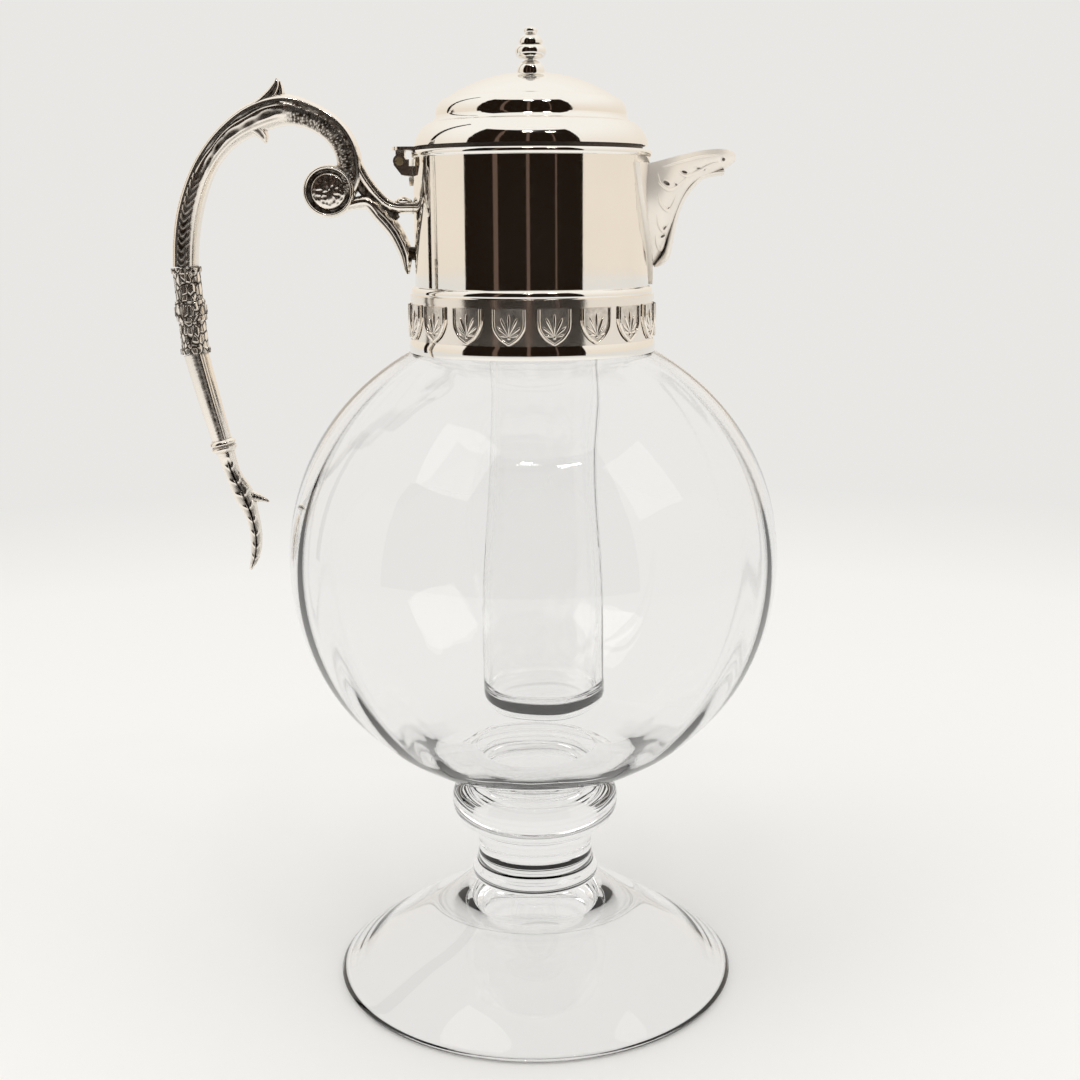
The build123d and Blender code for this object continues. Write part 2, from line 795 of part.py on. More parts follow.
def lid_outline(wall):
    """Corners of the lid's section from crown to edge, moved inwards by a wall."""
    step_r = lid_edge_radius - lid_step_width
    step_z = lid_edge_height + lid_step_rise
    side = 0.55 * wall
    down = 0.9 * wall
    return [
        (lid_flat_radius, lid_crown_height - wall),
        (step_r - lid_dome_inset - side, lid_crown_height - lid_dome_drop - down),
        (step_r - wall, step_z - 0.3 * wall),
        (step_r + lid_cove[0] - side, step_z - lid_cove[1] - down),
        (lid_edge_radius - wall, lid_edge_height),
    ]


def lid_shell():
    outer = lid_outline(0.0)
    inner = lid_outline(lid_wall)
    sags = (lid_dome_sag, lid_shoulder_sag, lid_cove_sag, lid_skirt_sag)
    curves = [Line(*rz([(0, lid_crown_height), outer[0]]))]
    curves += [bowed(outer[i], outer[i + 1], sags[i]) for i in range(4)]
    curves.append(Line(*rz([outer[4], inner[4]])))
    curves += [bowed(inner[i + 1], inner[i], -sags[i]) for i in (3, 2, 1, 0)]
    curves.append(Line(*rz([inner[0], (0, lid_crown_height - lid_wall)])))
    curves.append(Line(*rz([(0, lid_crown_height - lid_wall), (0, lid_crown_height)])))
    return turned(*curves) - column(stud_radius + stud_clearance)


def lid_bezel():
    plate = ring(bezel_inner_radius, lid_edge_radius - lid_wall - solder_gap, lid_edge_height,
                 bezel_top)
    flange = ring(bezel_radius - lid_wall, bezel_radius, lid_edge_height - bezel_depth,
                  lid_edge_height)
    notch = Pos(-bezel_radius, 0, lid_edge_height - bezel_depth / 2) * Box(
        bezel_radius, bezel_notch, bezel_depth)
    shape = plate + (flange - notch)
    for y in (-rivet_spacing / 2, rivet_spacing / 2):
        shape -= rivet_place(y) * Cylinder(rivet_radius, 4 * strap_thickness)
    return shape & lid_inner_cut()


def lid_inner_cut():
    """Space inside the lid's skirt, which slopes inwards above its edge."""
    edge = lid_edge_radius - lid_wall - solder_gap
    bottom = lid_edge_height - bezel_depth - 1
    return turned(Polyline(rz([
        (0, bottom), (edge, bottom), (edge, lid_edge_height), (edge - bezel_lean, bezel_top),
        (0, bezel_top), (0, bottom)])))


def rivet_place(y):
    x = -(bezel_inner_radius + rivet_edge)
    return Pos(x, y, lid_edge_height)


def hinge_rivets():
    rivets = []
    for y in (-rivet_spacing / 2, rivet_spacing / 2):
        shank = Pos(0, 0, (lid_wall - strap_thickness) / 2) * Cylinder(
            rivet_radius, lid_wall + strap_thickness)
        head = Pos(0, 0, lid_wall + rivet_head / 2) * Cylinder(rivet_head_radius, rivet_head)
        head = fillet(head.faces().sort_by(Axis.Z)[-1].edges(), rivet_head * 0.6)
        rivets.append((rivet_place(y) * (shank + head)).solid())
    return Compound(children=rivets)


def hinge_axis_cylinder(radius, y_start, y_end):
    """Cylinder about the hinge's axis, between two places across the jug."""
    return Pos(hinge_x, (y_start + y_end) / 2, hinge_height) * Rot(90, 0, 0) * Cylinder(
        radius, y_end - y_start)


def hinge_leaf():
    inner_x = -(bezel_inner_radius + strap_inset)
    outer_x = hinge_x - strap_end
    strap = Pos((inner_x + outer_x) / 2, 0, strap_bottom + strap_thickness / 2) * Box(
        inner_x - outer_x, strap_width, strap_thickness)
    corners = strap.edges().filter_by(Axis.Z).group_by(Axis.X)[0]
    strap = fillet(corners, strap_width * 0.3)
    half = leaf_knuckle_width / 2
    knuckle = hinge_axis_cylinder(knuckle_radius, -half, half)
    web_top = strap_bottom + strap_thickness / 2
    web = Pos(hinge_x, 0, (hinge_height + web_top) / 2) * Box(
        1.4 * knuckle_radius, leaf_knuckle_width, web_top - hinge_height)
    shape = strap + knuckle + web
    shape -= hinge_axis_cylinder(pin_radius + pin_clearance, -half - 1, half + 1)
    for y in (-rivet_spacing / 2, rivet_spacing / 2):
        shape -= rivet_place(y) * Cylinder(rivet_radius, 4 * strap_thickness)
    return shape


def hinge_bracket():
    top = bracket_top_height
    point = bracket_point_height
    outline = leaf_face(bracket_width / 2, top, point)
    plate = extrude(outline, amount=collar_radius + 2 * bracket_plate, dir=(-1, 0, 0))
    plate &= ring(collar_radius, collar_radius + bracket_plate, point - 1, top + 1)
    start = leaf_knuckle_width / 2 + knuckle_gap
    end = start + ear_width
    inside = -collar_radius + bracket_plate / 2
    back = hinge_x - knuckle_radius * 0.9
    low = point + (top - point) * 0.35
    ear = make_face([Polyline([
        (inside, start, low), (hinge_x + 0.6, start, low + 0.4), (back, start, hinge_height - 1.2),
        (back, start, hinge_height), (hinge_x + knuckle_radius * 0.9, start, hinge_height + 0.4),
        (inside, start, top), (inside, start, low)])])
    web = extrude(ear, amount=ear_width, dir=(0, 1, 0)) + hinge_axis_cylinder(
        knuckle_radius, start, end)
    shape = plate + web + mirror(web, Plane.XZ)
    shape -= hinge_axis_cylinder(pin_radius, -end - 1, end + 1)
    return shape - column(collar_radius)


def hinge_pin():
    end = leaf_knuckle_width / 2 + knuckle_gap + ear_width
    shape = hinge_axis_cylinder(pin_radius, -end, end)
    shape += hinge_axis_cylinder(pin_head_radius, end, end + pin_head)
    shape += hinge_axis_cylinder(pin_head_radius, -end - pin_head, -end)
    return shape


def finial():
    base = lid_crown_height
    foot_z = base + finial_foot_height
    waist_z = foot_z + finial_waist_height
    ball_z = waist_z + finial_ball_foot[1]
    ball_top = ball_z + finial_ball_height
    disc_z = ball_top + finial_disc_gap
    disc_top = disc_z + finial_disc_height
    tip_z = disc_top + finial_tip_neck_height
    top = tip_z + finial_tip_height
    foot = (finial_foot_radius, foot_z)
    waist = (finial_waist_radius, waist_z)
    ball_foot = (finial_waist_radius + finial_ball_foot[0], ball_z)
    ball_end = (finial_ball_top_radius, ball_top)
    disc = (finial_disc_radius, disc_top)
    neck = (finial_tip_neck_radius, tip_z)
    tip = (finial_tip_end[0], top - finial_tip_end[1])
    ball_side = (finial_ball_radius, 0, ball_z + finial_ball_height * 0.57)
    tip_side = (finial_tip_radius, 0, tip_z + finial_tip_height * 0.42)
    knob = turned(
        Line((0, 0, base), (finial_foot_radius, 0, base)),
        Line(*rz([(finial_foot_radius, base), foot])),
        bowed(foot, waist, -0.2 * finial_waist_height),
        Line(*rz([waist, ball_foot])),
        ThreePointArc(*rz([ball_foot]), ball_side, *rz([ball_end])),
        Line(*rz([ball_end, (finial_disc_radius, disc_z)])),
        Line(*rz([(finial_disc_radius, disc_z), disc])),
        bowed(disc, neck, -0.3 * finial_tip_neck_height),
        ThreePointArc(*rz([neck]), tip_side, *rz([tip])),
        Line(*rz([tip, (0, top)])),
        Line((0, 0, top), (0, 0, base)),
    )
    return knob + column(stud_radius, base - stud_length, base + finial_foot_height)


def finial_washer():
    top = lid_crown_height - lid_wall
    return ring(stud_radius + stud_clearance, washer_radius, top - washer_thickness, top)


def finial_nut():
    nut = extrude(RegularPolygon(nut_flats / 2, 6, major_radius=False), amount=nut_height)
    return Pos(0, 0, nut_top - nut_height) * nut - column(stud_radius)


nodes = {
    "glass_bowl": glass_bowl,
    "glass_pedestal": glass_pedestal,
    "ice_tube": ice_tube,
    "tube_gasket": tube_gasket,
    "tube_seat": tube_seat,
    "neck_bedding": neck_bedding,
    "collar_cylinder": collar_cylinder,
    "collar_rim": collar_rim,
    "collar_bead": collar_bead,
    "frieze_band": frieze_band,
    "base_moulding": base_moulding,
    "spout": spout,
    "handle_arm": handle_arm,
    "handle_ferrule": handle_ferrule,
    "handle_tail": handle_tail,
    "handle_screws": handle_screws,
    "handle_washers": handle_washers,
    "lid_shell": lid_shell,
    "lid_bezel": lid_bezel,
    "finial": finial,
    "finial_washer": finial_washer,
    "finial_nut": finial_nut,
    "hinge_bracket": hinge_bracket,
    "hinge_leaf": hinge_leaf,
    "hinge_pin": hinge_pin,
    "hinge_rivets": hinge_rivets,
}

os.makedirs("parts", exist_ok=True)
for name, build in nodes.items():
    export_step(build(), f"parts/{name}.step")
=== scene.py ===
"""A footed glass lemonade jug with a silver-plated collar, lid, spout and handle.

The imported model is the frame. This file adds the lobed glass, the cast relief of handle and
spout, the ornament of the collar's frieze, the finishes, and a plain studio.
"""

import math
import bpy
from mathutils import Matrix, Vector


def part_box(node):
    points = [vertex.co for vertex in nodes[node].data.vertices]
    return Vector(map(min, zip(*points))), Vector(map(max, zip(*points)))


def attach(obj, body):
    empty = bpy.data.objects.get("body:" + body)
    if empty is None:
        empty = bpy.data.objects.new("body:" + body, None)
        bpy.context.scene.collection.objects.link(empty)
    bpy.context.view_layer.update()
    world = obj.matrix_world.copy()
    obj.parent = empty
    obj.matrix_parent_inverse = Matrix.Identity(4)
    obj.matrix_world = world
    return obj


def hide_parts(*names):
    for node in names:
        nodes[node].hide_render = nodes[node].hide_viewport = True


bl_info = {
    "name": "Lemonade Jug",
    "version": (1, 0, 0),
    "blender": (4, 5, 0),
    "location": "3D View > Sidebar > Jug",
    "description": "Builds the glass and the cast silver of a lemonade jug round its frame",
    "category": "Object",
}

import bmesh
import bpy
from mathutils import Matrix, Vector, noise
from mathutils.bvhtree import BVHTree

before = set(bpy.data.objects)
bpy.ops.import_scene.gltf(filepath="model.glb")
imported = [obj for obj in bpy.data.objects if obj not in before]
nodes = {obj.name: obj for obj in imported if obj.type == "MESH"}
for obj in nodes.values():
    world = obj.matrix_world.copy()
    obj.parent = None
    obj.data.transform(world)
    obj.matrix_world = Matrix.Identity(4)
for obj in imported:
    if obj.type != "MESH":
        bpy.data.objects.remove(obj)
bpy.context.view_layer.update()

MM = 0.001

# Sizes of the collar that the ornament follows, in millimetres, read from the frame
band_low, band_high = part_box("frieze_band")
PAD_RADIUS = band_high.x / MM
BAND_BOTTOM = band_low.z / MM
BAND_TOP = band_high.z / MM
COLLAR_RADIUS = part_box("collar_cylinder")[1].x / MM
RIM_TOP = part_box("collar_rim")[1].z / MM

# The handle's places are measured from its upper screw: out from the collar, and up
LUG_DROP = 16.2
ROOT_X = -COLLAR_RADIUS
ROOT_Z = RIM_TOP - LUG_DROP


class JugSettings(bpy.types.PropertyGroup):
    """Sizes and colours of the jug that a user would change."""

    lobe_count: bpy.props.IntProperty(
        name="Optic Lobes", description="Soft upright lobes round the globe", default=20, min=6,
        max=48)
    lobe_depth: bpy.props.FloatProperty(
        name="Lobe Depth", description="How deep the hollows between the lobes are",
        default=0.00045, min=0.0, max=0.002, subtype="DISTANCE", unit="LENGTH", precision=5)
    relief_depth: bpy.props.FloatProperty(
        name="Relief Depth", description="Depth of the cast relief on the handle",
        default=0.0004, min=0.0, max=0.001, subtype="DISTANCE", unit="LENGTH", precision=5)
    shield_count: bpy.props.IntProperty(
        name="Shields", description="Shields round the collar's frieze", default=18, min=6, max=36)
    silver_colour: bpy.props.FloatVectorProperty(
        name="Silver", description="Colour of the polished silver plate", subtype="COLOR", size=4,
        default=(0.94, 0.91, 0.86, 1.0), min=0.0, max=1.0)
    cast_colour: bpy.props.FloatVectorProperty(
        name="Cast Silver", description="Colour of the plated castings", subtype="COLOR", size=4,
        default=(0.92, 0.86, 0.78, 1.0), min=0.0, max=1.0)
    # Dark colour of the oxide in drawn recesses, used also for painted shade and for the frieze's
    # painted dark reflection.
    tarnish_and_shade_colour: bpy.props.FloatVectorProperty(
        name="Tarnish", description="Dark oxide in the recesses", subtype="COLOR", size=4,
        default=(0.035, 0.022, 0.014, 1.0), min=0.0, max=1.0)
    plate_roughness: bpy.props.FloatProperty(
        name="Plate Roughness", description="Roughness of the polished plate", default=0.05,
        min=0.0, max=1.0, subtype="FACTOR")
    wall_colour: bpy.props.FloatVectorProperty(
        name="Backdrop", description="Colour of the backdrop", subtype="COLOR", size=4,
        default=(0.81, 0.80, 0.78, 1.0), min=0.0, max=1.0)
    floor_colour: bpy.props.FloatVectorProperty(
        name="Floor", description="Colour of the table top", subtype="COLOR", size=4,
        default=(0.94, 0.93, 0.905, 1.0), min=0.0, max=1.0)


def settings():
    return bpy.context.scene.jug_settings


def deselect():
    """Leaves nothing selected, in object mode."""
    if bpy.context.object and bpy.context.object.mode != "OBJECT":
        bpy.ops.object.mode_set(mode="OBJECT")
    bpy.ops.object.select_all(action="DESELECT")


def select_only(piece):
    deselect()
    piece.select_set(True)
    bpy.context.view_layer.objects.active = piece


def place(piece, name, body, material, smooth=35.0):
    """Names a finished piece, smooths it and fixes it to its body."""
    piece.name = name
    piece.data.name = name
    select_only(piece)
    bpy.ops.object.transform_apply(location=True, rotation=True, scale=True)
    bpy.ops.object.shade_smooth_by_angle(angle=math.radians(smooth))
    piece.data.materials.clear()
    piece.data.materials.append(material)
    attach(piece, body)
    return piece


# Shapes drawn in code, in millimetres


def arc_points(start, middle, end, count):
    """Points of the arc through three places, without its first one."""
    (x1, y1), (x2, y2), (x3, y3) = start, middle, end
    d = 2 * (x1 * (y2 - y3) + x2 * (y3 - y1) + x3 * (y1 - y2))
    s1, s2, s3 = x1 * x1 + y1 * y1, x2 * x2 + y2 * y2, x3 * x3 + y3 * y3
    cx = (s1 * (y2 - y3) + s2 * (y3 - y1) + s3 * (y1 - y2)) / d
    cy = (s1 * (x3 - x2) + s2 * (x1 - x3) + s3 * (x2 - x1)) / d
    radius = math.hypot(x1 - cx, y1 - cy)
    a1 = math.atan2(y1 - cy, x1 - cx)
    a2 = math.atan2(y2 - cy, x2 - cx)
    a3 = math.atan2(y3 - cy, x3 - cx)
    turn = (a3 - a1) % (2 * math.pi)
    if (a2 - a1) % (2 * math.pi) > turn:
        turn -= 2 * math.pi
    return [
        (cx + radius * math.cos(a1 + turn * i / count), cy + radius * math.sin(a1 + turn * i / count))
        for i in range(1, count + 1)
    ]


def flowing(values, t):
    """Smooth curve through a list of equal-length tuples, at t from 0 to 1."""
    last = len(values) - 1
    place_on = min(max(t, 0.0), 1.0) * last
    i = min(int(place_on), last - 1)
    f = place_on - i
    before = values[max(i - 1, 0)]
    a = values[i]
    b = values[i + 1]
    after = values[min(i + 2, last)]
    result = []
    for p0, p1, p2, p3 in zip(before, a, b, after):
        result.append(0.5 * (2 * p1 + (p2 - p0) * f + (2 * p0 - 5 * p1 + 4 * p2 - p3) * f ** 2
                             + (3 * p1 - p0 - 3 * p2 + p3) * f ** 3))
    return tuple(result)


def smoothstep(low, high, value):
    t = min(max((value - low) / (high - low), 0.0), 1.0)
    return t * t * (3 - 2 * t)


def spun(points, steps):
    """Turns a section of radius and height pairs about the jug's axis."""
    deselect()
    bpy.ops.mesh.primitive_plane_add(size=0.002)
    piece = bpy.context.active_object
    bpy.ops.object.mode_set(mode="EDIT")
    bpy.ops.mesh.select_all(action="SELECT")
    bpy.ops.mesh.merge(type="CENTER")
    r, z = points[0]
    bpy.ops.transform.translate(value=(r * MM, 0, z * MM))
    for (r0, z0), (r1, z1) in zip(points, points[1:]):
        bpy.ops.mesh.extrude_region_move(
            TRANSFORM_OT_translate={"value": ((r1 - r0) * MM, 0, (z1 - z0) * MM)})
    bpy.ops.mesh.select_all(action="SELECT")
    bpy.ops.mesh.spin(steps=steps, angle=2 * math.pi, center=(0, 0, 0), axis=(0, 0, 1))
    bpy.ops.mesh.select_all(action="SELECT")
    bpy.ops.mesh.remove_doubles(threshold=0.000004)
    bpy.ops.mesh.normals_make_consistent(inside=False)
    bpy.ops.object.mode_set(mode="OBJECT")
    return piece


def swept(stations, around, along, relief=None, root=(ROOT_X, ROOT_Z)):
    """Solid run through stations of x, z, half depth and half width in the handle's plane.

    relief gives the height above the plain surface in millimetres, and how dark the oxide lies
    (painted shade in the web), at a place along (0 to 1) and around (0 on the outer side, half a turn
    on the inner one).
    """
    deselect()
    bpy.ops.mesh.primitive_grid_add(x_subdivisions=around, y_subdivisions=along, size=2)
    piece = bpy.context.active_object
    mesh = piece.data
    recess = mesh.attributes.new("recess", "FLOAT", "POINT")
    for vertex in mesh.vertices:
        t = (vertex.co.y + 1) / 2
        phi = (vertex.co.x + 1) * math.pi
        x, z, depth, width = flowing(stations, t)
        ahead = flowing(stations, min(t + 0.004, 1.0))
        behind = flowing(stations, max(t - 0.004, 0.0))
        tangent = Vector((ahead[0] - behind[0], 0, ahead[1] - behind[1])).normalized()
        outward = Vector((-tangent.z, 0, tangent.x))
        height, dark = relief(t, phi) if relief else (0.0, 0.0)
        across = Vector((0, -1, 0))
        offset = outward * math.cos(phi) * (depth + height) + across * math.sin(phi) * (
            width + height)
        vertex.co = (Vector((root[0] + x, 0, root[1] + z)) + offset) * MM
        recess.data[vertex.index].value = min(max(dark, 0.0), 1.0)
    close_up()
    return piece


def close_up():
    """Joins the edited piece's seams, fills its open ends and turns its faces outwards."""
    bpy.ops.object.mode_set(mode="EDIT")
    bpy.ops.mesh.select_all(action="SELECT")
    bpy.ops.mesh.remove_doubles(threshold=0.000008)
    bpy.ops.mesh.select_all(action="DESELECT")
    bpy.ops.mesh.select_mode(type="EDGE")
    bpy.ops.mesh.select_non_manifold()
    bpy.ops.mesh.edge_face_add()
    bpy.ops.mesh.select_mode(type="VERT")
    bpy.ops.mesh.select_all(action="SELECT")
    bpy.ops.mesh.normals_make_consistent(inside=False)
    bpy.ops.object.mode_set(mode="OBJECT")


def join(pieces):
    """Makes one piece of several."""
    deselect()
    for piece in pieces:
        piece.select_set(True)
    bpy.context.view_layer.objects.active = pieces[0]
    bpy.ops.object.join()
    return pieces[0]


# Finishes


def finish_of(name):
    """A new material's node tree, its main shader and its object coordinates."""
    material = bpy.data.materials.new(name)
    material.use_nodes = True
    tree = material.node_tree
    shader = tree.nodes["Principled BSDF"]
    place_in = tree.nodes.new("ShaderNodeTexCoord")
    return material, tree, shader, place_in


def grain(tree, place_in, scale, detail=4.0, squash=(1, 1, 1)):
    """Noise on the piece's own coordinates."""
    mapping = tree.nodes.new("ShaderNodeMapping")
    mapping.inputs["Scale"].default_value = squash
    tree.links.new(place_in.outputs["Object"], mapping.inputs["Vector"])
    texture = tree.nodes.new("ShaderNodeTexNoise")
    texture.inputs["Scale"].default_value = scale
    texture.inputs["Detail"].default_value = detail
    tree.links.new(mapping.outputs["Vector"], texture.inputs["Vector"])
    return texture


def ranged(tree, value, low, high, start=0.3, end=0.7):
    """Spreads a 0 to 1 value over a range."""
    node = tree.nodes.new("ShaderNodeMapRange")
    node.inputs["From Min"].default_value = start
    node.inputs["From Max"].default_value = end
    node.inputs["To Min"].default_value = low
    node.inputs["To Max"].default_value = high
    tree.links.new(value, node.inputs["Value"])
    return node.outputs["Result"]


def bumped(tree, shader, height, strength, distance):
    bump = tree.nodes.new("ShaderNodeBump")
    bump.inputs["Strength"].default_value = strength
    bump.inputs["Distance"].default_value = distance
    tree.links.new(height, bump.inputs["Height"])
    tree.links.new(bump.outputs["Normal"], shader.inputs["Normal"])


def mixed(tree, factor, first, second):
    """Colour between two, by a factor."""
    mix = tree.nodes.new("ShaderNodeMix")
    mix.data_type = "RGBA"
    tree.links.new(factor, mix.inputs["Factor"])
    for value, socket in ((first, mix.inputs[6]), (second, mix.inputs[7])):
        if isinstance(value, bpy.types.NodeSocket):
            tree.links.new(value, socket)
        else:
            socket.default_value = value
    return mix.outputs[2]


def polished_silver():
    """Mirror-bright plate with faint clouding and fine wear."""
    s = settings()
    material, tree, shader, place_in = finish_of("polished_silver")
    shader.inputs["Metallic"].default_value = 1.0
    cloud = grain(tree, place_in, 60.0, 5.0)
    duller = tuple(0.94 * c for c in s.silver_colour[:3]) + (1.0,)
    colour = mixed(tree, cloud.outputs["Fac"], tuple(s.silver_colour), duller)
    tree.links.new(colour, shader.inputs["Base Color"])
    wear = grain(tree, place_in, 900.0, 3.0)
    low = s.plate_roughness * 0.7
    tree.links.new(ranged(tree, wear.outputs["Fac"], low, low * 2.2), shader.inputs["Roughness"])
    bumped(tree, shader, cloud.outputs["Fac"], 0.12, 0.00015)
    return material


def cast_silver(name="cast_silver", darkness=1.0, smoothest=0.14, metallic=1.0):
    """Plated casting, bright on its high places; dark with oxide in its drawn recesses, and with
    painted shade wherever ambient occlusion finds the surface hidden.
    """
    s = settings()
    material, tree, shader, place_in = finish_of(name)
    shader.inputs["Metallic"].default_value = metallic
    recess = tree.nodes.new("ShaderNodeAttribute")
    recess.attribute_name = "recess"
    # Painted shade: ambient occlusion darkens each place hidden from the light, in creases and
    # between parts.
    shade = tree.nodes.new("ShaderNodeAmbientOcclusion")
    shade.inputs["Distance"].default_value = 0.0015
    shade.samples = 8
    hidden = ranged(tree, shade.outputs["AO"], 1.0, 0.0, 0.25, 0.85)
    deep = ranged(tree, recess.outputs["Fac"], 0.0, 1.0, 0.15, 0.75)
    # The drawn recess darkness (oxide, with painted shade where a piece marks it) and the painted
    # occlusion shade, whichever is darker.
    both = tree.nodes.new("ShaderNodeMath")
    both.operation = "MAXIMUM"
    tree.links.new(hidden, both.inputs[0])
    tree.links.new(deep, both.inputs[1])
    mottle = grain(tree, place_in, 700.0, 4.0)
    spread = tree.nodes.new("ShaderNodeMath")
    spread.operation = "MULTIPLY"
    tree.links.new(both.outputs[0], spread.inputs[0])
    tree.links.new(ranged(tree, mottle.outputs["Fac"], 0.75 * darkness, darkness, 0.3, 0.6),
                   spread.inputs[1])
    colour = mixed(tree, spread.outputs[0], tuple(s.cast_colour), tuple(s.tarnish_and_shade_colour))
    tree.links.new(colour, shader.inputs["Base Color"])
    tree.links.new(ranged(tree, spread.outputs[0], smoothest, 0.5, 0.0, 1.0),
                   shader.inputs["Roughness"])
    bumped(tree, shader, mottle.outputs["Fac"], 0.25, 0.0001)
    return material


def engraved_silver():
    """Cast finish with a fine leafy carving, for the ferrule."""
    s = settings()
    material, tree, shader, place_in = finish_of("engraved_silver")
    shader.inputs["Metallic"].default_value = 1.0
    cells = tree.nodes.new("ShaderNodeTexVoronoi")
    cells.feature = "DISTANCE_TO_EDGE"
    cells.inputs["Scale"].default_value = 620.0
    mapping = tree.nodes.new("ShaderNodeMapping")
    mapping.inputs["Scale"].default_value = (1.0, 1.0, 0.55)
    tree.links.new(place_in.outputs["Object"], mapping.inputs["Vector"])
    tree.links.new(mapping.outputs["Vector"], cells.inputs["Vector"])
    line = ranged(tree, cells.outputs["Distance"], 1.0, 0.0, 0.02, 0.16)
    colour = mixed(tree, line, tuple(s.cast_colour), tuple(s.tarnish_and_shade_colour))
    tree.links.new(colour, shader.inputs["Base Color"])
    tree.links.new(ranged(tree, line, 0.16, 0.5, 0.0, 1.0), shader.inputs["Roughness"])
    bumped(tree, shader, ranged(tree, line, 1.0, 0.0, 0.0, 1.0), 0.7, 0.0003)
    return material


def frieze_silver():
    """Plate of the frieze: bright band, and on the ground inside the raised shields a mottled painted
    dark reflection.
    """
    s = settings()
    material, tree, shader, place_in = finish_of("frieze_silver")
    shader.inputs["Metallic"].default_value = 1.0
    flat = tree.nodes.new("ShaderNodeVectorMath")
    flat.operation = "MULTIPLY"
    flat.inputs[1].default_value = (1.0, 1.0, 0.0)
    tree.links.new(place_in.outputs["Object"], flat.inputs[0])
    reach = tree.nodes.new("ShaderNodeVectorMath")
    reach.operation = "LENGTH"
    tree.links.new(flat.outputs[0], reach.inputs[0])
    # Painted reflection: the outermost face, the ground of the shields, is mixed in a mottle towards
    # the dark colour, as the dark card behind the camera would reflect.
    pad = ranged(tree, reach.outputs["Value"], 0.0, 1.0, (PAD_RADIUS - 0.12) * MM,
                 (PAD_RADIUS - 0.04) * MM)
    mottle = grain(tree, place_in, 500.0, 4.0)
    painted_reflection = tree.nodes.new("ShaderNodeMath")
    painted_reflection.operation = "MULTIPLY"
    tree.links.new(pad, painted_reflection.inputs[0])
    tree.links.new(ranged(tree, mottle.outputs["Fac"], 0.10, 0.38), painted_reflection.inputs[1])
    colour = mixed(tree, painted_reflection.outputs[0], tuple(s.cast_colour), tuple(s.tarnish_and_shade_colour))
    tree.links.new(colour, shader.inputs["Base Color"])
    tree.links.new(ranged(tree, painted_reflection.outputs[0], 0.14, 0.45, 0.0, 1.0),
                   shader.inputs["Roughness"])
    bumped(tree, shader, mottle.outputs["Fac"], 0.2, 0.0001)
    return material


def clear_glass():
    """Colourless glass with the faint drawn streaks of blown work."""
    material, tree, shader, place_in = finish_of("clear_glass")
    shader.inputs["Base Color"].default_value = (1.0, 1.0, 1.0, 1.0)
    shader.inputs["Transmission Weight"].default_value = 1.0
    shader.inputs["IOR"].default_value = 1.5
    shader.inputs["Roughness"].default_value = 0.0
    streak = grain(tree, place_in, 22.0, 2.0, (1.0, 1.0, 0.25))
    bumped(tree, shader, streak.outputs["Fac"], 0.2, 0.0008)
    return material


def plain_finish(name, colour, metallic, rough):
    """Finish of the small hidden fittings, with a fine turned grain."""
    material, tree, shader, place_in = finish_of(name)
    shader.inputs["Metallic"].default_value = metallic
    fine = grain(tree, place_in, 1500.0, 3.0)
    darker = tuple(0.8 * c for c in colour) + (1.0,)
    mix = mixed(tree, fine.outputs["Fac"], tuple(colour) + (1.0,), darker)
    tree.links.new(mix, shader.inputs["Base Color"])
    tree.links.new(ranged(tree, fine.outputs["Fac"], rough * 0.8, rough * 1.25),
                   shader.inputs["Roughness"])
    bumped(tree, shader, fine.outputs["Fac"], 0.2, 0.00005)
    return material


# The blown glass

# Height of the globe's widest place, its radius there outside and inside, and its floor's corner
BELLY = 142.0
BELLY_OUTSIDE = 78.0
BELLY_INSIDE = 75.4
FLOOR_HEIGHT = 80.5
FLOOR_CORNER = (47.0, 85.0)
NECK_OUTSIDE = 32.0
NECK_INSIDE = 29.6

# Each bore arc of the globe: its centre's distance from the axis, and its radius
LOWER_BORE = (4.0, 71.4)
UPPER_BORE = (3.27, 72.13)

# Heights between which the lobes swell out of the plain glass, and sink back into it
LOBED = (70.0, 212.0)
LOBES_RISE = (71.0, 84.0)
LOBES_SINK = (196.0, 210.0)
THINNEST_WALL = 0.0008

FOOT_HOLLOW = [(62.2, 0.0), (50.0, 9.4), (32.0, 20.2), (16.0, 24.8), (0.0, 26.0)]
FOOT_SLOPE = [(20.1, 33.2), (28.5, 27.2), (46.0, 15.8), (62.7, 4.1), (65.5, 1.7)]


def glass_section():
    """Section of globe, stem and foot in one, from the foot's hollow round to the floor."""
    points = [flowing(FOOT_HOLLOW, 1 - i / 40) for i in range(41)]
    points += [(63.4, 0.0), (64.2, 0.05), (65.1, 0.7)]
    points += [flowing(FOOT_SLOPE, 1 - i / 48) for i in range(49)]
    points += arc_points((20.1, 33.2), (20.9, 35.0), (19.8, 37.6), 8)
    points += arc_points((19.8, 37.6), (18.8, 43.5), (19.7, 50.1), 12)
    points += [(20.4, 51.1), (22.6, 52.1)]
    points += arc_points((23.9, 52.9), (27.3, 61.5), (23.7, 67.7), 18)
    points += [(22.6, 68.2), (21.2, 68.6), (20.6, 69.1)]
    points += [(21.94, 69.5)]
    points += arc_points((21.94, 69.5), (67.05, 103.0), (BELLY_OUTSIDE, BELLY), 52)
    points += arc_points((BELLY_OUTSIDE, BELLY), (64.35, 185.0), (NECK_OUTSIDE, 210.85), 44)
    points += [(NECK_OUTSIDE, 211.6), (NECK_OUTSIDE, 226.0)]
    points += arc_points((NECK_OUTSIDE, 226.0), (30.8, 227.2), (NECK_INSIDE, 226.0), 8)
    points += [(NECK_INSIDE, 211.0), (NECK_INSIDE, 209.15)]
    points += arc_points((NECK_INSIDE, 209.15), (58.8, 188.0), (BELLY_INSIDE, BELLY), 40)
    points += arc_points((BELLY_INSIDE, BELLY), (67.83, 110.0), FLOOR_CORNER, 36)
    points += arc_points(FLOOR_CORNER, (40.0, 81.4), (30.0, FLOOR_HEIGHT), 10)
    points += [(22.0, FLOOR_HEIGHT), (11.0, FLOOR_HEIGHT), (0.0, FLOOR_HEIGHT)]
    return points


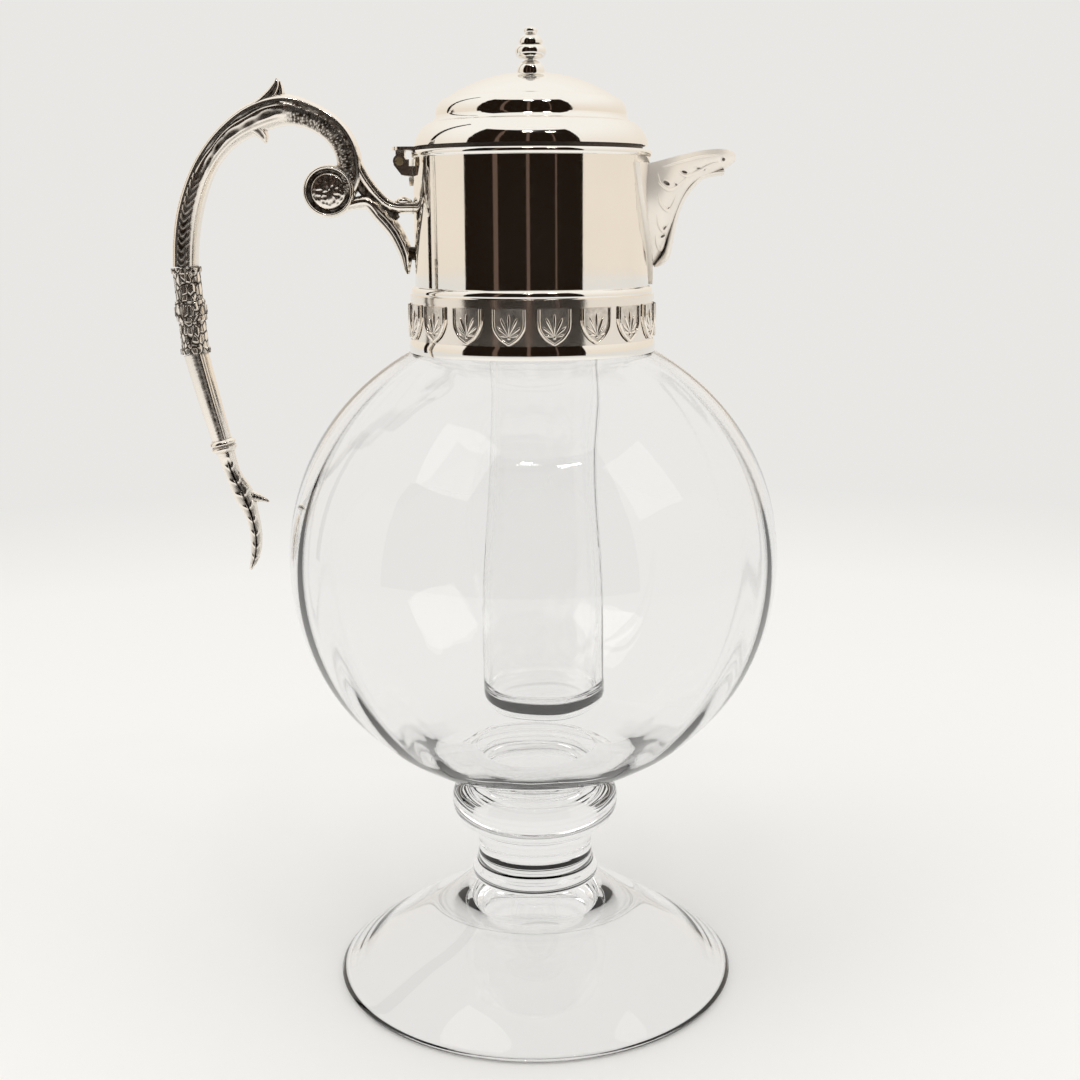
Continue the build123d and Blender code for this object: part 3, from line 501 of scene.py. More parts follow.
class JUG_OT_glass(bpy.types.Operator):
    """Blows the globe and foot in one, with soft upright lobes round the globe"""

    bl_idname = "jug.glass"
    bl_label = "Glass Globe and Foot"

    def execute(self, context):
        s = settings()
        piece = spun(glass_section(), s.lobe_count * 8)
        for vertex in piece.data.vertices:
            x, y, z = vertex.co
            radius = math.hypot(x, y)
            height = z / MM
            lobed = LOBED[0] < height < LOBED[1]
            if not lobed or radius <= inner_radius(height) + THINNEST_WALL:
                continue
            fade = smoothstep(*LOBES_RISE, height) * (1 - smoothstep(*LOBES_SINK, height))
            angle = math.atan2(y, x)
            hollow = 0.5 - 0.5 * math.cos(angle * s.lobe_count + 0.5 * math.sin(3 * angle))
            uneven = 0.68 + 0.2 * math.sin(2 * angle + 0.6) + 0.12 * math.sin(5 * angle)
            scale = 1 - s.lobe_depth * fade * hollow * uneven / radius
            vertex.co.x *= scale
            vertex.co.y *= scale
        place(piece, "blown_glass", "jug", clear_glass(), 50.0)
        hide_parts("glass_bowl", "glass_pedestal")
        return {"FINISHED"}


def inner_radius(height):
    """Radius of the globe's inside at a height, in metres; nothing below its floor."""
    if height < FLOOR_HEIGHT + 0.5:
        return 0.0
    if height < FLOOR_CORNER[1]:
        return FLOOR_CORNER[0] * MM
    centre, radius = LOWER_BORE if height < BELLY else UPPER_BORE
    return (centre + math.sqrt(max(radius ** 2 - (height - BELLY) ** 2, 0.0))) * MM


# The cast handle

# Stations of each run: out from the upper screw, up, half depth and half width
ARM = [
    (-71.1, -18.2, 3.9, 4.2), (-70.5, -10.4, 4.0, 4.3), (-69.0, -2.0, 4.0, 4.3),
    (-66.0, 7.0, 3.8, 4.2), (-62.0, 14.5, 3.6, 4.0), (-55.8, 21.3, 3.9, 4.1),
    (-47.8, 26.2, 4.7, 4.4), (-38.8, 28.6, 4.7, 4.4), (-30.4, 26.6, 4.0, 4.3),
    (-24.0, 22.5, 3.9, 4.2), (-20.2, 16.6, 3.8, 4.1), (-19.3, 9.4, 3.7, 3.9),
    (-20.8, 4.6, 3.0, 3.3), (-23.2, 2.4, 2.0, 2.4),
]
STRAND = [
    (2.2, -0.5, 2.0, 3.8), (-1.4, -0.5, 1.9, 3.4), (-5.0, -0.4, 1.8, 2.8), (-8.6, 0.9, 1.8, 2.4),
    (-12.0, 4.3, 1.8, 2.4), (-15.2, 8.9, 1.8, 2.5), (-17.6, 13.8, 1.8, 2.5),
    (-19.4, 18.2, 1.8, 2.2),
]
STRAND_KNOB = [(-5.6, 1.2, 0.5, 1.2), (-4.2, 1.5, 1.3, 2.4), (-2.6, 1.5, 1.4, 2.6),
               (-0.8, 1.0, 0.8, 1.8)]
WEB = [(-17.0, 7.4, 2.0, 1.9), (-11.8, 1.8, 2.2, 1.9), (-7.8, -1.6, 2.2, 1.8),
       (-5.4, -4.2, 1.4, 1.5)]
LEAF = [
    (-21.4, -0.2, 1.5, 2.8), (-14.2, 1.2, 2.3, 3.4), (-9.9, -2.8, 2.6, 3.6), (-5.8, -7.8, 2.5, 3.7),
    (-3.1, -13.7, 2.2, 3.3), (-2.5, -18.2, 1.3, 2.2), (-2.2, -20.6, 0.5, 0.9),
]
CROWN_LEAF = [(-49.6, 27.8, 2.2, 3.4), (-45.6, 30.6, 1.9, 3.0), (-42.6, 33.2, 1.9, 2.4),
              (-41.0, 35.8, 1.3, 1.5), (-40.6, 38.0, 0.4, 0.5)]
CROWN_POST = [(-39.4, 31.6, 1.1, 1.7), (-39.3, 34.4, 0.8, 1.2), (-39.7, 37.0, 0.35, 0.5)]
LEAF_TIP = [(-50.6, 25.0, 3.0, 3.9), (-47.4, 23.4, 2.7, 3.6), (-45.4, 21.2, 1.7, 2.4),
            (-44.6, 19.0, 0.5, 0.7)]
LEAF_FOOT = [(-3.6, -13.7, 1.6, 1.9), (-1.6, -14.2, 1.9, 2.3), (0.6, -14.4, 2.1, 2.6)]

# The volute's centre, and its section from the middle out as radius and half width
VOLUTE = (-25.8, 4.5)
VOLUTE_RING = 5.95
VOLUTE_SECTION = [(0.0, 3.5), (2.6, 3.4), (4.9, 3.0), (5.7, 2.2), (6.4, 2.3), (6.8, 3.4),
                  (7.4, 3.5), (7.9, 2.4), (8.1, 0.0)]


def side_place(phi):
    """How far round from the outer ridge: 0 on the ridge, 1 on the inner side."""
    return abs(math.pi - (phi % (2 * math.pi))) / math.pi


def granules(t, phi, length, radius, size):
    """Stippled ground, from 0 in the gaps to 1 on the grains."""
    point = Vector((t * length / size, math.cos(phi) * radius / size,
                    math.sin(phi) * radius / size))
    near = noise.voronoi(point)[0]
    return 1 - min(near[0] * 1.5, 1.0)


def groove(value, centre, width):
    """A line sunk round a value: 1 in its middle, 0 outside."""
    return max(0.0, 1 - abs(value - centre) / width)


def arm_relief(t, phi):
    """Smooth outer ridge, sunk line, scales below, a long leaf above, stippled ground beyond."""
    depth = settings().relief_depth / MM
    out = 1 - side_place(phi)
    beyond = smoothstep(0.53, 0.58, t)
    leaf = smoothstep(0.24, 0.30, t) * (1 - smoothstep(0.50, 0.56, t))
    below = 1 - smoothstep(0.22, 0.28, t)
    line = groove(out, 0.30, 0.035 + 0.045 * beyond)
    grains = granules(t, phi, 170.0, 4.2, 1.15)
    field = smoothstep(0.31, 0.36, out)
    wide = field * (1 - smoothstep(0.74, 0.86, out))
    narrow = field * (1 - smoothstep(0.54, 0.62, out))
    scales = 0.5 + 0.5 * math.sin(t * 300.0 + 5.0 * math.cos(out * 14.0))
    hollow = groove(out, 0.37 + 0.015 * math.sin(t * 60.0), 0.05)
    hollow += groove(out, 0.55 + 0.03 * math.sin(t * 44.0 + 1.0), 0.09) * (
        0.75 + 0.25 * math.sin(t * 130.0))
    hollow += 0.8 * groove(out, 0.68, 0.025)
    veined = min(hollow, 1.0)
    low = (0.45 + 0.55 * (1 - smoothstep(0.08, 0.2, t))) * narrow * (1 - 0.6 * scales)
    ridge = (1 - smoothstep(0.16, 0.28, out)) * 0.45
    height = ridge * depth * (0.5 + 0.5 * beyond)
    height -= line * depth * 1.4
    height -= depth * (wide * beyond * (0.25 + 0.6 * (1 - grains)) + 1.3 * veined * leaf
                       + 0.9 * low * below)
    dark = line + beyond * wide * (0.18 + 0.85 * (1 - grains) ** 1.5)
    dark += 1.1 * veined * leaf + 1.2 * low * below
    return height, dark


def strand_relief(t, phi):
    """Sunk line along the strand's lower side."""
    depth = settings().relief_depth / MM
    out = side_place(phi)
    line = groove(out, 0.36, 0.10) * smoothstep(0.02, 0.1, t)
    return -depth * 1.2 * line, 1.2 * line


def shaded_web_relief(t, phi):
    """Plain, and darkened all over as painted shade, as in the gap of the fork between strand and
    leaf.
    """
    return 0.0, 0.85


def leaf_relief(t, phi):
    """Two long channels with ribs between, and a notched lower edge."""
    depth = settings().relief_depth / MM
    out = side_place(phi)
    rib = groove(out, 0.33, 0.07) + groove(out, 0.50, 0.09) * smoothstep(0.2, 0.4, t)
    notch = 0.5 + 0.5 * math.sin(t * 70.0)
    edge = smoothstep(0.62, 0.72, out) * (1 - smoothstep(0.86, 0.95, out)) * notch
    cover = smoothstep(0.12, 0.25, t)
    return -depth * (1.4 * rib + 0.9 * edge) * cover, (1.2 * rib + 0.6 * edge) * cover


def crown_relief(t, phi):
    """One sunk line down the middle of a small leaf."""
    depth = settings().relief_depth / MM
    out = 1 - side_place(phi)
    line = groove(out, 0.52, 0.16) * (1 - smoothstep(0.7, 0.9, t))
    return -depth * 1.2 * line, 1.1 * line


def volute():
    """Round boss of the scroll: bright rim, dark ring and stippled middle on both sides, with a
    painted highlight where the stippling is kept pale in a round spot up and out from the middle.
    """
    deselect()
    bpy.ops.mesh.primitive_grid_add(x_subdivisions=72, y_subdivisions=96, size=2)
    piece = bpy.context.active_object
    recess = piece.data.attributes.new("recess", "FLOAT", "POINT")
    for vertex in piece.data.vertices:
        angle = (vertex.co.x + 1) * math.pi
        side = -1.0 if vertex.co.y < 0 else 1.0
        radius, width = flowing(VOLUTE_SECTION, 1 - abs(vertex.co.y))
        x = VOLUTE[0] + radius * math.cos(angle)
        z = VOLUTE[1] + radius * math.sin(angle)
        near = noise.voronoi(Vector((x * 0.9, 0.0, z * 0.9)))[0]
        speck = max(0.0, 1.15 - near[0] * 2.2) * (1 - smoothstep(4.4, 5.2, radius))
        # Painted highlight: inside this round spot the stippling is darkened far less.
        bright = math.hypot(x - VOLUTE[0] + 2.2, z - VOLUTE[1] - 1.0) < 1.7
        ring = groove(radius, VOLUTE_RING, 0.85)
        recess.data[vertex.index].value = min(1.0, 1.6 * ring + (0.15 if bright else 0.75) * speck)
        vertex.co = Vector((ROOT_X + x, side * (width - 0.25 * speck), ROOT_Z + z)) * MM
    close_up()
    return piece


class JUG_OT_handle_arm(bpy.types.Operator):
    """Casts the handle's scrolled arm with its strand, volute and leaves"""

    bl_idname = "jug.handle_arm"
    bl_label = "Handle Arm"

    def execute(self, context):
        arm = swept(ARM, 72, 480, arm_relief)
        strand = swept(STRAND, 40, 90, strand_relief)
        parts = [arm, strand, volute(), swept(STRAND_KNOB, 24, 24), swept(WEB, 24, 30, shaded_web_relief)]
        parts.append(swept(LEAF, 48, 130, leaf_relief))
        parts.append(swept(LEAF_FOOT, 24, 16, shaded_web_relief))
        parts.append(swept(CROWN_LEAF, 32, 48, crown_relief))
        parts.append(swept(CROWN_POST, 24, 24))
        parts.append(swept(LEAF_TIP, 32, 40, crown_relief))
        piece = join(parts)
        place(piece, "handle_scroll", "jug", cast_silver(), 60.0)
        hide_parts("handle_arm")
        return {"FINISHED"}


TAPER = [(-69.3, -44.8, 3.9, 3.9), (-66.4, -57.0, 3.6, 3.6), (-63.1, -70.0, 3.2, 3.2),
         (-61.4, -76.8, 2.9, 2.9)]
TAIL = [
    (-61.6, -75.8, 2.9, 2.9), (-59.4, -83.2, 2.5, 2.8), (-56.4, -89.8, 3.2, 3.2),
    (-54.0, -96.4, 2.2, 2.9), (-52.9, -103.4, 1.9, 2.6), (-53.5, -109.8, 1.5, 2.0),
    (-55.2, -114.4, 0.5, 0.7),
]
THORN = [(-57.2, -89.2, 2.6, 2.6), (-54.4, -90.2, 2.0, 2.1), (-51.4, -91.0, 1.3, 1.5),
         (-48.3, -92.2, 0.4, 0.5)]
TAIL_RING = [(-62.56, -72.2, 3.4, 3.4), (-62.4, -72.9, 4.0, 4.0), (-62.2, -73.6, 4.1, 4.1),
             (-62.08, -74.1, 3.5, 3.5), (-61.96, -74.6, 4.0, 4.0), (-61.7, -75.4, 3.9, 3.9),
             (-61.6, -75.9, 3.2, 3.2)]


def taper_relief(t, phi):
    """Sunk line beside the outer ridge, and a soft dark streak down the middle."""
    depth = settings().relief_depth / MM
    out = 1 - side_place(phi)
    line = groove(out, 0.30, 0.03)
    grains = granules(t, phi, 34.0, 3.6, 0.8)
    streak = groove(out, 0.46, 0.12) * (0.45 + 0.55 * (1 - grains))
    return -depth * (0.5 * line + 0.4 * streak), 0.9 * line + 0.9 * streak


def tail_relief(t, phi):
    """Veins that lean off a sunk middle line, as on a curled leaf."""
    depth = settings().relief_depth / MM
    out = 1 - side_place(phi)
    middle = groove(out, 0.45, 0.05)
    lean = t * 60.0 + 9.0 * abs(out - 0.45)
    vein = max(0.0, math.sin(lean)) ** 2
    cover = smoothstep(0.05, 0.12, t) * (1 - smoothstep(0.9, 1.0, t)) * (
        1 - smoothstep(0.85, 1.0, out))
    cut = (1 - vein) * groove(out, 0.45, 0.4)
    return -depth * (1.5 * middle + cut) * cover, (1.2 * middle + 0.7 * cut) * cover


class JUG_OT_handle_tail(bpy.types.Operator):
    """Casts the handle's taper, ring and leafy tail"""

    bl_idname = "jug.handle_tail"
    bl_label = "Handle Tail"

    def execute(self, context):
        parts = [swept(TAPER, 48, 120, taper_relief), swept(TAIL, 48, 200, tail_relief),
                 swept(THORN, 32, 50, tail_relief), swept(TAIL_RING, 48, 36)]
        piece = join(parts)
        place(piece, "handle_leaf_tail", "jug", cast_silver(), 60.0)
        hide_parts("handle_tail")
        return {"FINISHED"}


# The collar's frieze

# Border of one shield: how far below the band's top it starts, its height, the height of its
# straight part and its half width
SHIELD_START = 2.7
SHIELD_HEIGHT = 10.0
SHIELD_STRAIGHT = 3.7
SHIELD_HALF = 4.5

# Petals of one palmette: their lean from upright in degrees, and their length
PETALS = [(0, 6.6), (24, 6.0), (-24, 6.0), (50, 4.6), (-50, 4.6), (80, 3.1), (-80, 3.1)]
PETAL_HALF = 0.62


def wrapped(piece, radius, turn):
    """Bends a flat piece, drawn at y = 0 with its face to -Y, round the collar."""
    for vertex in piece.data.vertices:
        angle = vertex.co.x / radius + turn - math.pi / 2
        reach = radius - vertex.co.y
        vertex.co = Vector((reach * math.cos(angle), reach * math.sin(angle), vertex.co.z))


def flat_run(points, radius, height):
    """Half-round raised line through flat x and z points."""
    deselect()
    count = (len(points) - 1) * 6
    bpy.ops.mesh.primitive_grid_add(x_subdivisions=8, y_subdivisions=count, size=2)
    piece = bpy.context.active_object
    for vertex in piece.data.vertices:
        t = (vertex.co.y + 1) / 2
        phi = vertex.co.x * math.pi / 2
        x, z = flowing(points, t)
        ahead = flowing(points, min(t + 0.01, 1.0))
        behind = flowing(points, max(t - 0.01, 0.0))
        tangent = Vector((ahead[0] - behind[0], 0, ahead[1] - behind[1])).normalized()
        side = Vector((tangent.z, 0, -tangent.x))
        offset = side * math.sin(phi) * radius + Vector((0, -1, 0)) * math.cos(phi) * height
        vertex.co = (Vector((x, 0, z)) + offset) * MM
    return piece


def petal(angle, length, width, base):
    """One drop-shaped petal of the palmette, leaning by an angle from upright."""
    deselect()
    bpy.ops.mesh.primitive_uv_sphere_add(segments=12, ring_count=8, radius=1)
    piece = bpy.context.active_object
    for vertex in piece.data.vertices:
        x, y, z = vertex.co
        along = (z + 1) / 2
        swell = 0.35 + 0.9 * along ** 1.3 - 0.25 * along ** 4
        vertex.co = Vector((x * width * swell, y * 0.42, along * length)) * MM
    turn = Matrix.Rotation(angle, 4, "Y")
    piece.data.transform(turn)
    piece.data.transform(Matrix.Translation((0, 0, base * MM)))
    return piece


class JUG_OT_frieze(bpy.types.Operator):
    """Raises a border and a palmette on each shield of the frieze"""

    bl_idname = "jug.frieze"
    bl_label = "Frieze Ornament"

    def execute(self, context):
        s = settings()
        top = BAND_TOP - SHIELD_START
        bottom = top - SHIELD_HEIGHT
        waist = top - SHIELD_STRAIGHT
        half = SHIELD_HALF
        border = [(-half, top), (-half, top - 1.9), (-half, waist), (-half * 0.93, waist - 2.2),
                  (-half * 0.60, waist - 4.5), (-half * 0.25, bottom + 0.6), (0.0, bottom),
                  (half * 0.25, bottom + 0.6), (half * 0.60, waist - 4.5),
                  (half * 0.93, waist - 2.2), (half, waist), (half, top - 1.9), (half, top)]
        parts = [flat_run(border, 0.5, 0.62)]
        root = bottom + 2.1
        for degrees, length in PETALS:
            parts.append(petal(math.radians(degrees), length, PETAL_HALF, root))
        parts.append(petal(math.pi, 1.3, 0.7, root + 0.4))
        model = join(parts)
        copies = []
        for k in range(s.shield_count):
            select_only(model)
            bpy.ops.object.duplicate()
            copy = bpy.context.active_object
            wrapped(copy, PAD_RADIUS * MM, k * 2 * math.pi / s.shield_count + math.pi / 2)
            copies.append(copy)
        bpy.data.objects.remove(model)
        piece = join(copies)
        place(piece, "frieze_palmettes", "jug", cast_silver("ornament_silver", 0.7),
              60.0)
        return {"FINISHED"}


# The spout's carving


def skin_of(node):
    """Search tree of a node's surface."""
    mesh = bmesh.new()
    mesh.from_mesh(nodes[node].data)
    tree = BVHTree.FromBMesh(mesh)
    mesh.free()
    return tree


def on_side(tree, x, z, side):
    """Point and normal where a line across the jug first meets a surface, in millimetres."""
    start = Vector((x * MM, side * 0.08, z * MM))
    hit, normal, _, _ = tree.ray_cast(start, Vector((0, -side, 0)))
    if hit is None:
        return None, None
    if normal.y * side < 0:
        normal = -normal
    return hit / MM, normal


def carved_rib(tree, points, side, width, height):
    """Tapered half-round rib laid on the spout's side through x and z places."""
    deselect()
    count = (len(points) - 1) * 8
    bpy.ops.mesh.primitive_grid_add(x_subdivisions=8, y_subdivisions=count, size=2)
    piece = bpy.context.active_object
    for vertex in piece.data.vertices:
        t = (vertex.co.y + 1) / 2
        phi = vertex.co.x * math.pi / 2
        x, z = flowing(points, t)
        ahead = flowing(points, min(t + 0.02, 1.0))
        behind = flowing(points, max(t - 0.02, 0.0))
        across = Vector((ahead[1] - behind[1], 0, behind[0] - ahead[0])).normalized()
        swell = math.sin(math.pi * min(max(t, 0.03), 0.97)) ** 0.6
        place_on = Vector((x, 0, z)) + across * math.sin(phi) * width * swell
        hit, normal = on_side(tree, place_on.x, place_on.z, side)
        if hit is None:
            hit, normal = on_side(tree, x, z, side)
        if hit is None:
            hit, normal = Vector((x, side * 1.0, z)), Vector((0, side, 0))
        vertex.co = (hit + normal * (math.cos(phi) * height * swell - 0.12)) * MM
    bpy.ops.object.mode_set(mode="EDIT")
    bpy.ops.mesh.select_all(action="SELECT")
    bpy.ops.mesh.remove_doubles(threshold=0.00001)
    bpy.ops.mesh.normals_make_consistent(inside=False)
    bpy.ops.object.mode_set(mode="OBJECT")
    return piece


def drilled_pit(tree, x, z, length, width, lean, side):
    """Flat oval disc, darkened inside as the painted shade of a hollow, with a thin raised lip, laid
    on the spout's side.
    """
    deselect()
    bpy.ops.mesh.primitive_circle_add(vertices=20, radius=1, fill_type="TRIFAN")
    piece = bpy.context.active_object
    bpy.ops.object.mode_set(mode="EDIT")
    bpy.ops.mesh.select_all(action="SELECT")
    bpy.ops.mesh.inset(thickness=0.25)
    bpy.ops.mesh.inset(thickness=0.25)
    bpy.ops.object.mode_set(mode="OBJECT")
    recess = piece.data.attributes.new("recess", "FLOAT", "POINT")
    for vertex in piece.data.vertices:
        u, v, _ = vertex.co
        reach = math.hypot(u, v)
        a = u * length * math.cos(lean) - v * width * math.sin(lean)
        b = u * length * math.sin(lean) + v * width * math.cos(lean)
        hit, normal = on_side(tree, x + a, z + b, side)
        if hit is None:
            hit, normal = on_side(tree, x, z, side)
        lip = 0.16 * (1 - abs(reach - 0.75) * 4) if reach > 0.5 else 0.04
        vertex.co = (hit + normal * max(lip, 0.03)) * MM
        # Painted shade: the middle of the disc is marked fully dark, standing in for the pit's depth.
        recess.data[vertex.index].value = 1.0 if reach < 0.7 else 0.0
    bpy.ops.object.mode_set(mode="EDIT")
    bpy.ops.mesh.select_all(action="SELECT")
    bpy.ops.mesh.normals_make_consistent(inside=False)
    bpy.ops.object.mode_set(mode="OBJECT")
    return piece


RIB_HALF = 0.55
RIB_HEIGHT = 0.5

# Ribs of the spout's sides: places along and up in the jug's middle plane
SPOUT_RIBS = [
    [(39.0, 263.2), (44.5, 264.8), (51.0, 266.4), (57.0, 267.0)],
    [(37.6, 262.0), (38.4, 258.6), (41.4, 256.6), (45.2, 258.6), (47.4, 261.4)],
    [(37.6, 256.0), (38.6, 252.6), (41.0, 250.6), (42.8, 252.8), (43.6, 255.8)],
    [(37.6, 250.0), (38.2, 246.6), (40.0, 244.4), (41.6, 246.2), (42.2, 249.4)],
    [(37.5, 244.0), (38.0, 240.8), (39.4, 238.8), (40.4, 240.4), (40.8, 243.0)],
    [(43.2, 262.4), (46.4, 260.8), (50.4, 262.2), (54.0, 264.2), (57.4, 265.0)],
]

# Place along and up, half length, half width and lean of each pit
SPOUT_PITS = [
    (58.2, 265.7, 0.8, 0.75, 0.0), (51.2, 262.9, 2.4, 0.5, -0.15), (45.9, 261.9, 1.5, 0.6, -0.25),
    (40.3, 258.6, 1.7, 0.85, -0.5), (43.4, 258.1, 0.9, 0.5, -0.9), (41.4, 251.2, 0.9, 0.75, 0.2),
    (40.2, 245.5, 1.3, 0.45, 0.85), (39.8, 243.1, 1.3, 0.6, 0.45), (39.9, 238.4, 0.65, 0.6, 0.0),
]

# Rounded keel under the beak and down the spout's front, out from the collar and up from its rim
SPOUT_KEEL = [
    (22.6, -6.4, 1.1, 2.6), (18.0, -6.9, 1.2, 3.2), (14.6, -8.4, 1.3, 4.0), (10.6, -12.8, 1.4, 4.6),
    (8.2, -17.6, 1.4, 4.8), (6.9, -22.6, 1.4, 4.6), (6.0, -27.6, 1.4, 4.2), (5.2, -31.4, 1.4, 3.4),
    (3.4, -33.6, 1.2, 2.4), (1.6, -34.6, 0.6, 1.2),
]


class JUG_OT_spout(bpy.types.Operator):
    """Lays the carved ribs and drilled pits on both sides of the spout"""

    bl_idname = "jug.spout"
    bl_label = "Spout Carving"

    def execute(self, context):
        tree = skin_of("spout")
        parts = []
        for side in (-1, 1):
            for points in SPOUT_RIBS:
                parts.append(carved_rib(tree, points, side, RIB_HALF, RIB_HEIGHT))
            for x, z, length, width, lean in SPOUT_PITS:
                parts.append(drilled_pit(tree, x, z, length, width, lean, side))
        parts.append(swept(SPOUT_KEEL, 32, 80, root=(COLLAR_RADIUS, RIM_TOP)))
        piece = join(parts)
        carved = cast_silver("carved_silver", 1.0, 0.36, 0.6)
        place(piece, "spout_carving", "jug", carved, 60.0)
        return {"FINISHED"}


class JUG_OT_finishes(bpy.types.Operator):
    """Gives every piece of the frame its own finish"""

    bl_idname = "jug.finishes"
    bl_label = "Finishes"

    def execute(self, context):
        silver = polished_silver()
        cast = cast_silver("bracket_silver")
        beak = cast_silver("spout_silver", 0.5, 0.36, 0.6)
        brass = plain_finish("plain_brass", (0.72, 0.58, 0.34), 1.0, 0.3)
        wanted = {
            "ice_tube": clear_glass(),
            "frieze_band": frieze_silver(),
            "handle_ferrule": engraved_silver(),
            "spout": beak,
            # The lid's bezel is painted near black: painted shade of the gap between the lid's edge
            # and the collar's rim.
            "lid_bezel": plain_finish("painted_gap_shade", (0.10, 0.08, 0.065), 0.7, 0.45),
            "tube_gasket": plain_finish("soft_gasket", (0.80, 0.80, 0.77), 0.0, 0.45),
            "neck_bedding": plain_finish("set_plaster", (0.84, 0.82, 0.78), 0.0, 0.85),
        }
        for name in ("collar_cylinder", "collar_rim", "collar_bead", "base_moulding", "tube_seat",
                     "lid_shell", "finial"):
            wanted[name] = silver
        for name in ("hinge_bracket", "hinge_leaf", "handle_arm", "handle_tail"):
            wanted[name] = cast
        for name in ("hinge_pin", "hinge_rivets", "handle_screws", "handle_washers",
                     "finial_washer", "finial_nut"):
            wanted[name] = brass
        wanted["glass_bowl"] = wanted["ice_tube"]
        wanted["glass_pedestal"] = wanted["ice_tube"]
        for name, material in wanted.items():
            mesh = nodes[name].data
            mesh.materials.clear()
            mesh.materials.append(material)
        return {"FINISHED"}


# The studio

AIM = (0, 0, 0.15)
LAMP_COLOUR = (1.0, 0.97, 0.93)

# Name, place, width, height, power, and whether the silver mirrors the lamp
LAMPS = [
    ("key", (-0.7, -0.5, 1.2), 0.7, 0.7, 2.2, False),
    ("fill", (0.9, -0.4, 0.9), 0.6, 0.6, 1.2, False),
    ("tube_left", (-0.045, -0.62, 1.05), 0.13, 0.012, 0.35, True),
    ("tube_right", (0.27, -0.62, 1.05), 0.13, 0.012, 0.35, True),
]
TABLE_RADIUS = 6.0

# The table's own glow: its share under the jug, far from it, and seen through the glass
GLOW_NEAR = 0.0
GLOW_FULL = 1.0
GLOW_THROUGH = 0.86
GLOW_REACH = (0.6, 0.95)

# The card's radius and height, and the turns from the front, in degrees, of its faces and streaks
CARD_RADIUS = 1.4
CARD_HEIGHT = 2.5
CARD_FACES = [(-66.0, 50.0), (-119.0, -113.0)]
CARD_STREAKS = [(-36.0, -32.0), (-5.0, -1.0), (22.0, 24.0)]

EYE = (0.0021, -0.480, 0.2496)
LENS = 50.8
TILT = 12.05
ROLL = -0.28


def soft_lamp(name, place_at, width, height, power, mirrored):
    """Area lamp that looks at the jug."""
    data = bpy.data.lights.new(name, "AREA")
    data.shape = "RECTANGLE"
    data.size = width
    data.size_y = height
    data.energy = power
    data.color = LAMP_COLOUR
    lamp = bpy.data.objects.new(name, data)
    bpy.context.scene.collection.objects.link(lamp)
    lamp.location = place_at
    lamp.rotation_euler = (Vector(AIM) - Vector(place_at)).to_track_quat("-Z", "Y").to_euler()
    lamp.visible_glossy = mirrored
    return lamp


def ray_switch(tree, first, second, kinds):
    """Second where the ray is one of the kinds, else first."""
    path = tree.nodes.new("ShaderNodeLightPath")
    total = None
    for kind in kinds:
        socket = path.outputs[kind]
        if total is None:
            total = socket
            continue
        add = tree.nodes.new("ShaderNodeMath")
        add.operation = "MAXIMUM"
        tree.links.new(total, add.inputs[0])
        tree.links.new(socket, add.inputs[1])
        total = add.outputs[0]
    return mixed(tree, total, first, second)


def studio_world():
    """Soft even light, a plain backdrop to look at, and a warm room for the silver to mirror."""
    s = settings()
    world = bpy.data.worlds.new("studio")
    world.use_nodes = True
    tree = world.node_tree
    background = tree.nodes["Background"]
    direction = tree.nodes.new("ShaderNodeTexCoord")
    split = tree.nodes.new("ShaderNodeSeparateXYZ")
    tree.links.new(direction.outputs["Generated"], split.inputs["Vector"])
    rise = ranged(tree, split.outputs["Z"], 0.0, 1.0, 0.05, 0.75)
    room = mixed(tree, rise, (0.88, 0.80, 0.70, 1.0), (1.0, 0.985, 0.95, 1.0))
    lit = ray_switch(tree, (0.88, 0.88, 0.88, 1.0), room, ["Is Glossy Ray"])
    shown = ray_switch(tree, lit, tuple(s.wall_colour), ["Is Camera Ray", "Is Transmission Ray"])
    tree.links.new(shown, background.inputs["Color"])
    background.inputs["Strength"].default_value = 1.0
    bpy.context.scene.world = world


def table_top():
    """Round table top, whose colour runs into the backdrop's with distance."""
    s = settings()
    deselect()
    bpy.ops.mesh.primitive_circle_add(vertices=96, radius=TABLE_RADIUS, fill_type="NGON",
                                      location=(0, 0, -0.0002))
    top = bpy.context.active_object
    top.name = "table_top"
    material, tree, shader, place_in = finish_of("table_top")
    reach = tree.nodes.new("ShaderNodeVectorMath")
    reach.operation = "LENGTH"
    tree.links.new(place_in.outputs["Object"], reach.inputs[0])
    shader.inputs["Base Color"].default_value = tuple(s.floor_colour)
    shader.inputs["Roughness"].default_value = 0.8
    shader.inputs["Specular IOR Level"].default_value = 0.1
    far = ranged(tree, reach.outputs["Value"], GLOW_NEAR, GLOW_FULL, *GLOW_REACH)
    path = tree.nodes.new("ShaderNodeLightPath")
    through = ranged(tree, path.outputs["Is Transmission Ray"], 0.0, GLOW_THROUGH, 0.0, 1.0)
    share = tree.nodes.new("ShaderNodeMath")
    share.operation = "MAXIMUM"
    tree.links.new(far, share.inputs[0])
    tree.links.new(through, share.inputs[1])
    glow = tree.nodes.new("ShaderNodeEmission")
    glow.inputs["Color"].default_value = tuple(s.wall_colour)
    blend = tree.nodes.new("ShaderNodeMixShader")
    output = tree.nodes["Material Output"]
    tree.links.new(share.outputs[0], blend.inputs["Fac"])
    tree.links.new(shader.outputs["BSDF"], blend.inputs[1])
    tree.links.new(glow.outputs["Emission"], blend.inputs[2])
    tree.links.new(blend.outputs["Shader"], output.inputs["Surface"])
    top.data.materials.append(material)


def card_finish(name, colour):
    """Unlit finish of a stage card."""
    material, _, shader, _ = finish_of(name)
    shader.inputs["Base Color"].default_value = (0.0, 0.0, 0.0, 1.0)
    shader.inputs["Specular IOR Level"].default_value = 0.0
    shader.inputs["Emission Color"].default_value = colour
    shader.inputs["Emission Strength"].default_value = 1.0
    return material


def within(angle, spans):
    """Whether an angle lies in one of the spans."""
    return any(low < angle < high for low, high in spans)


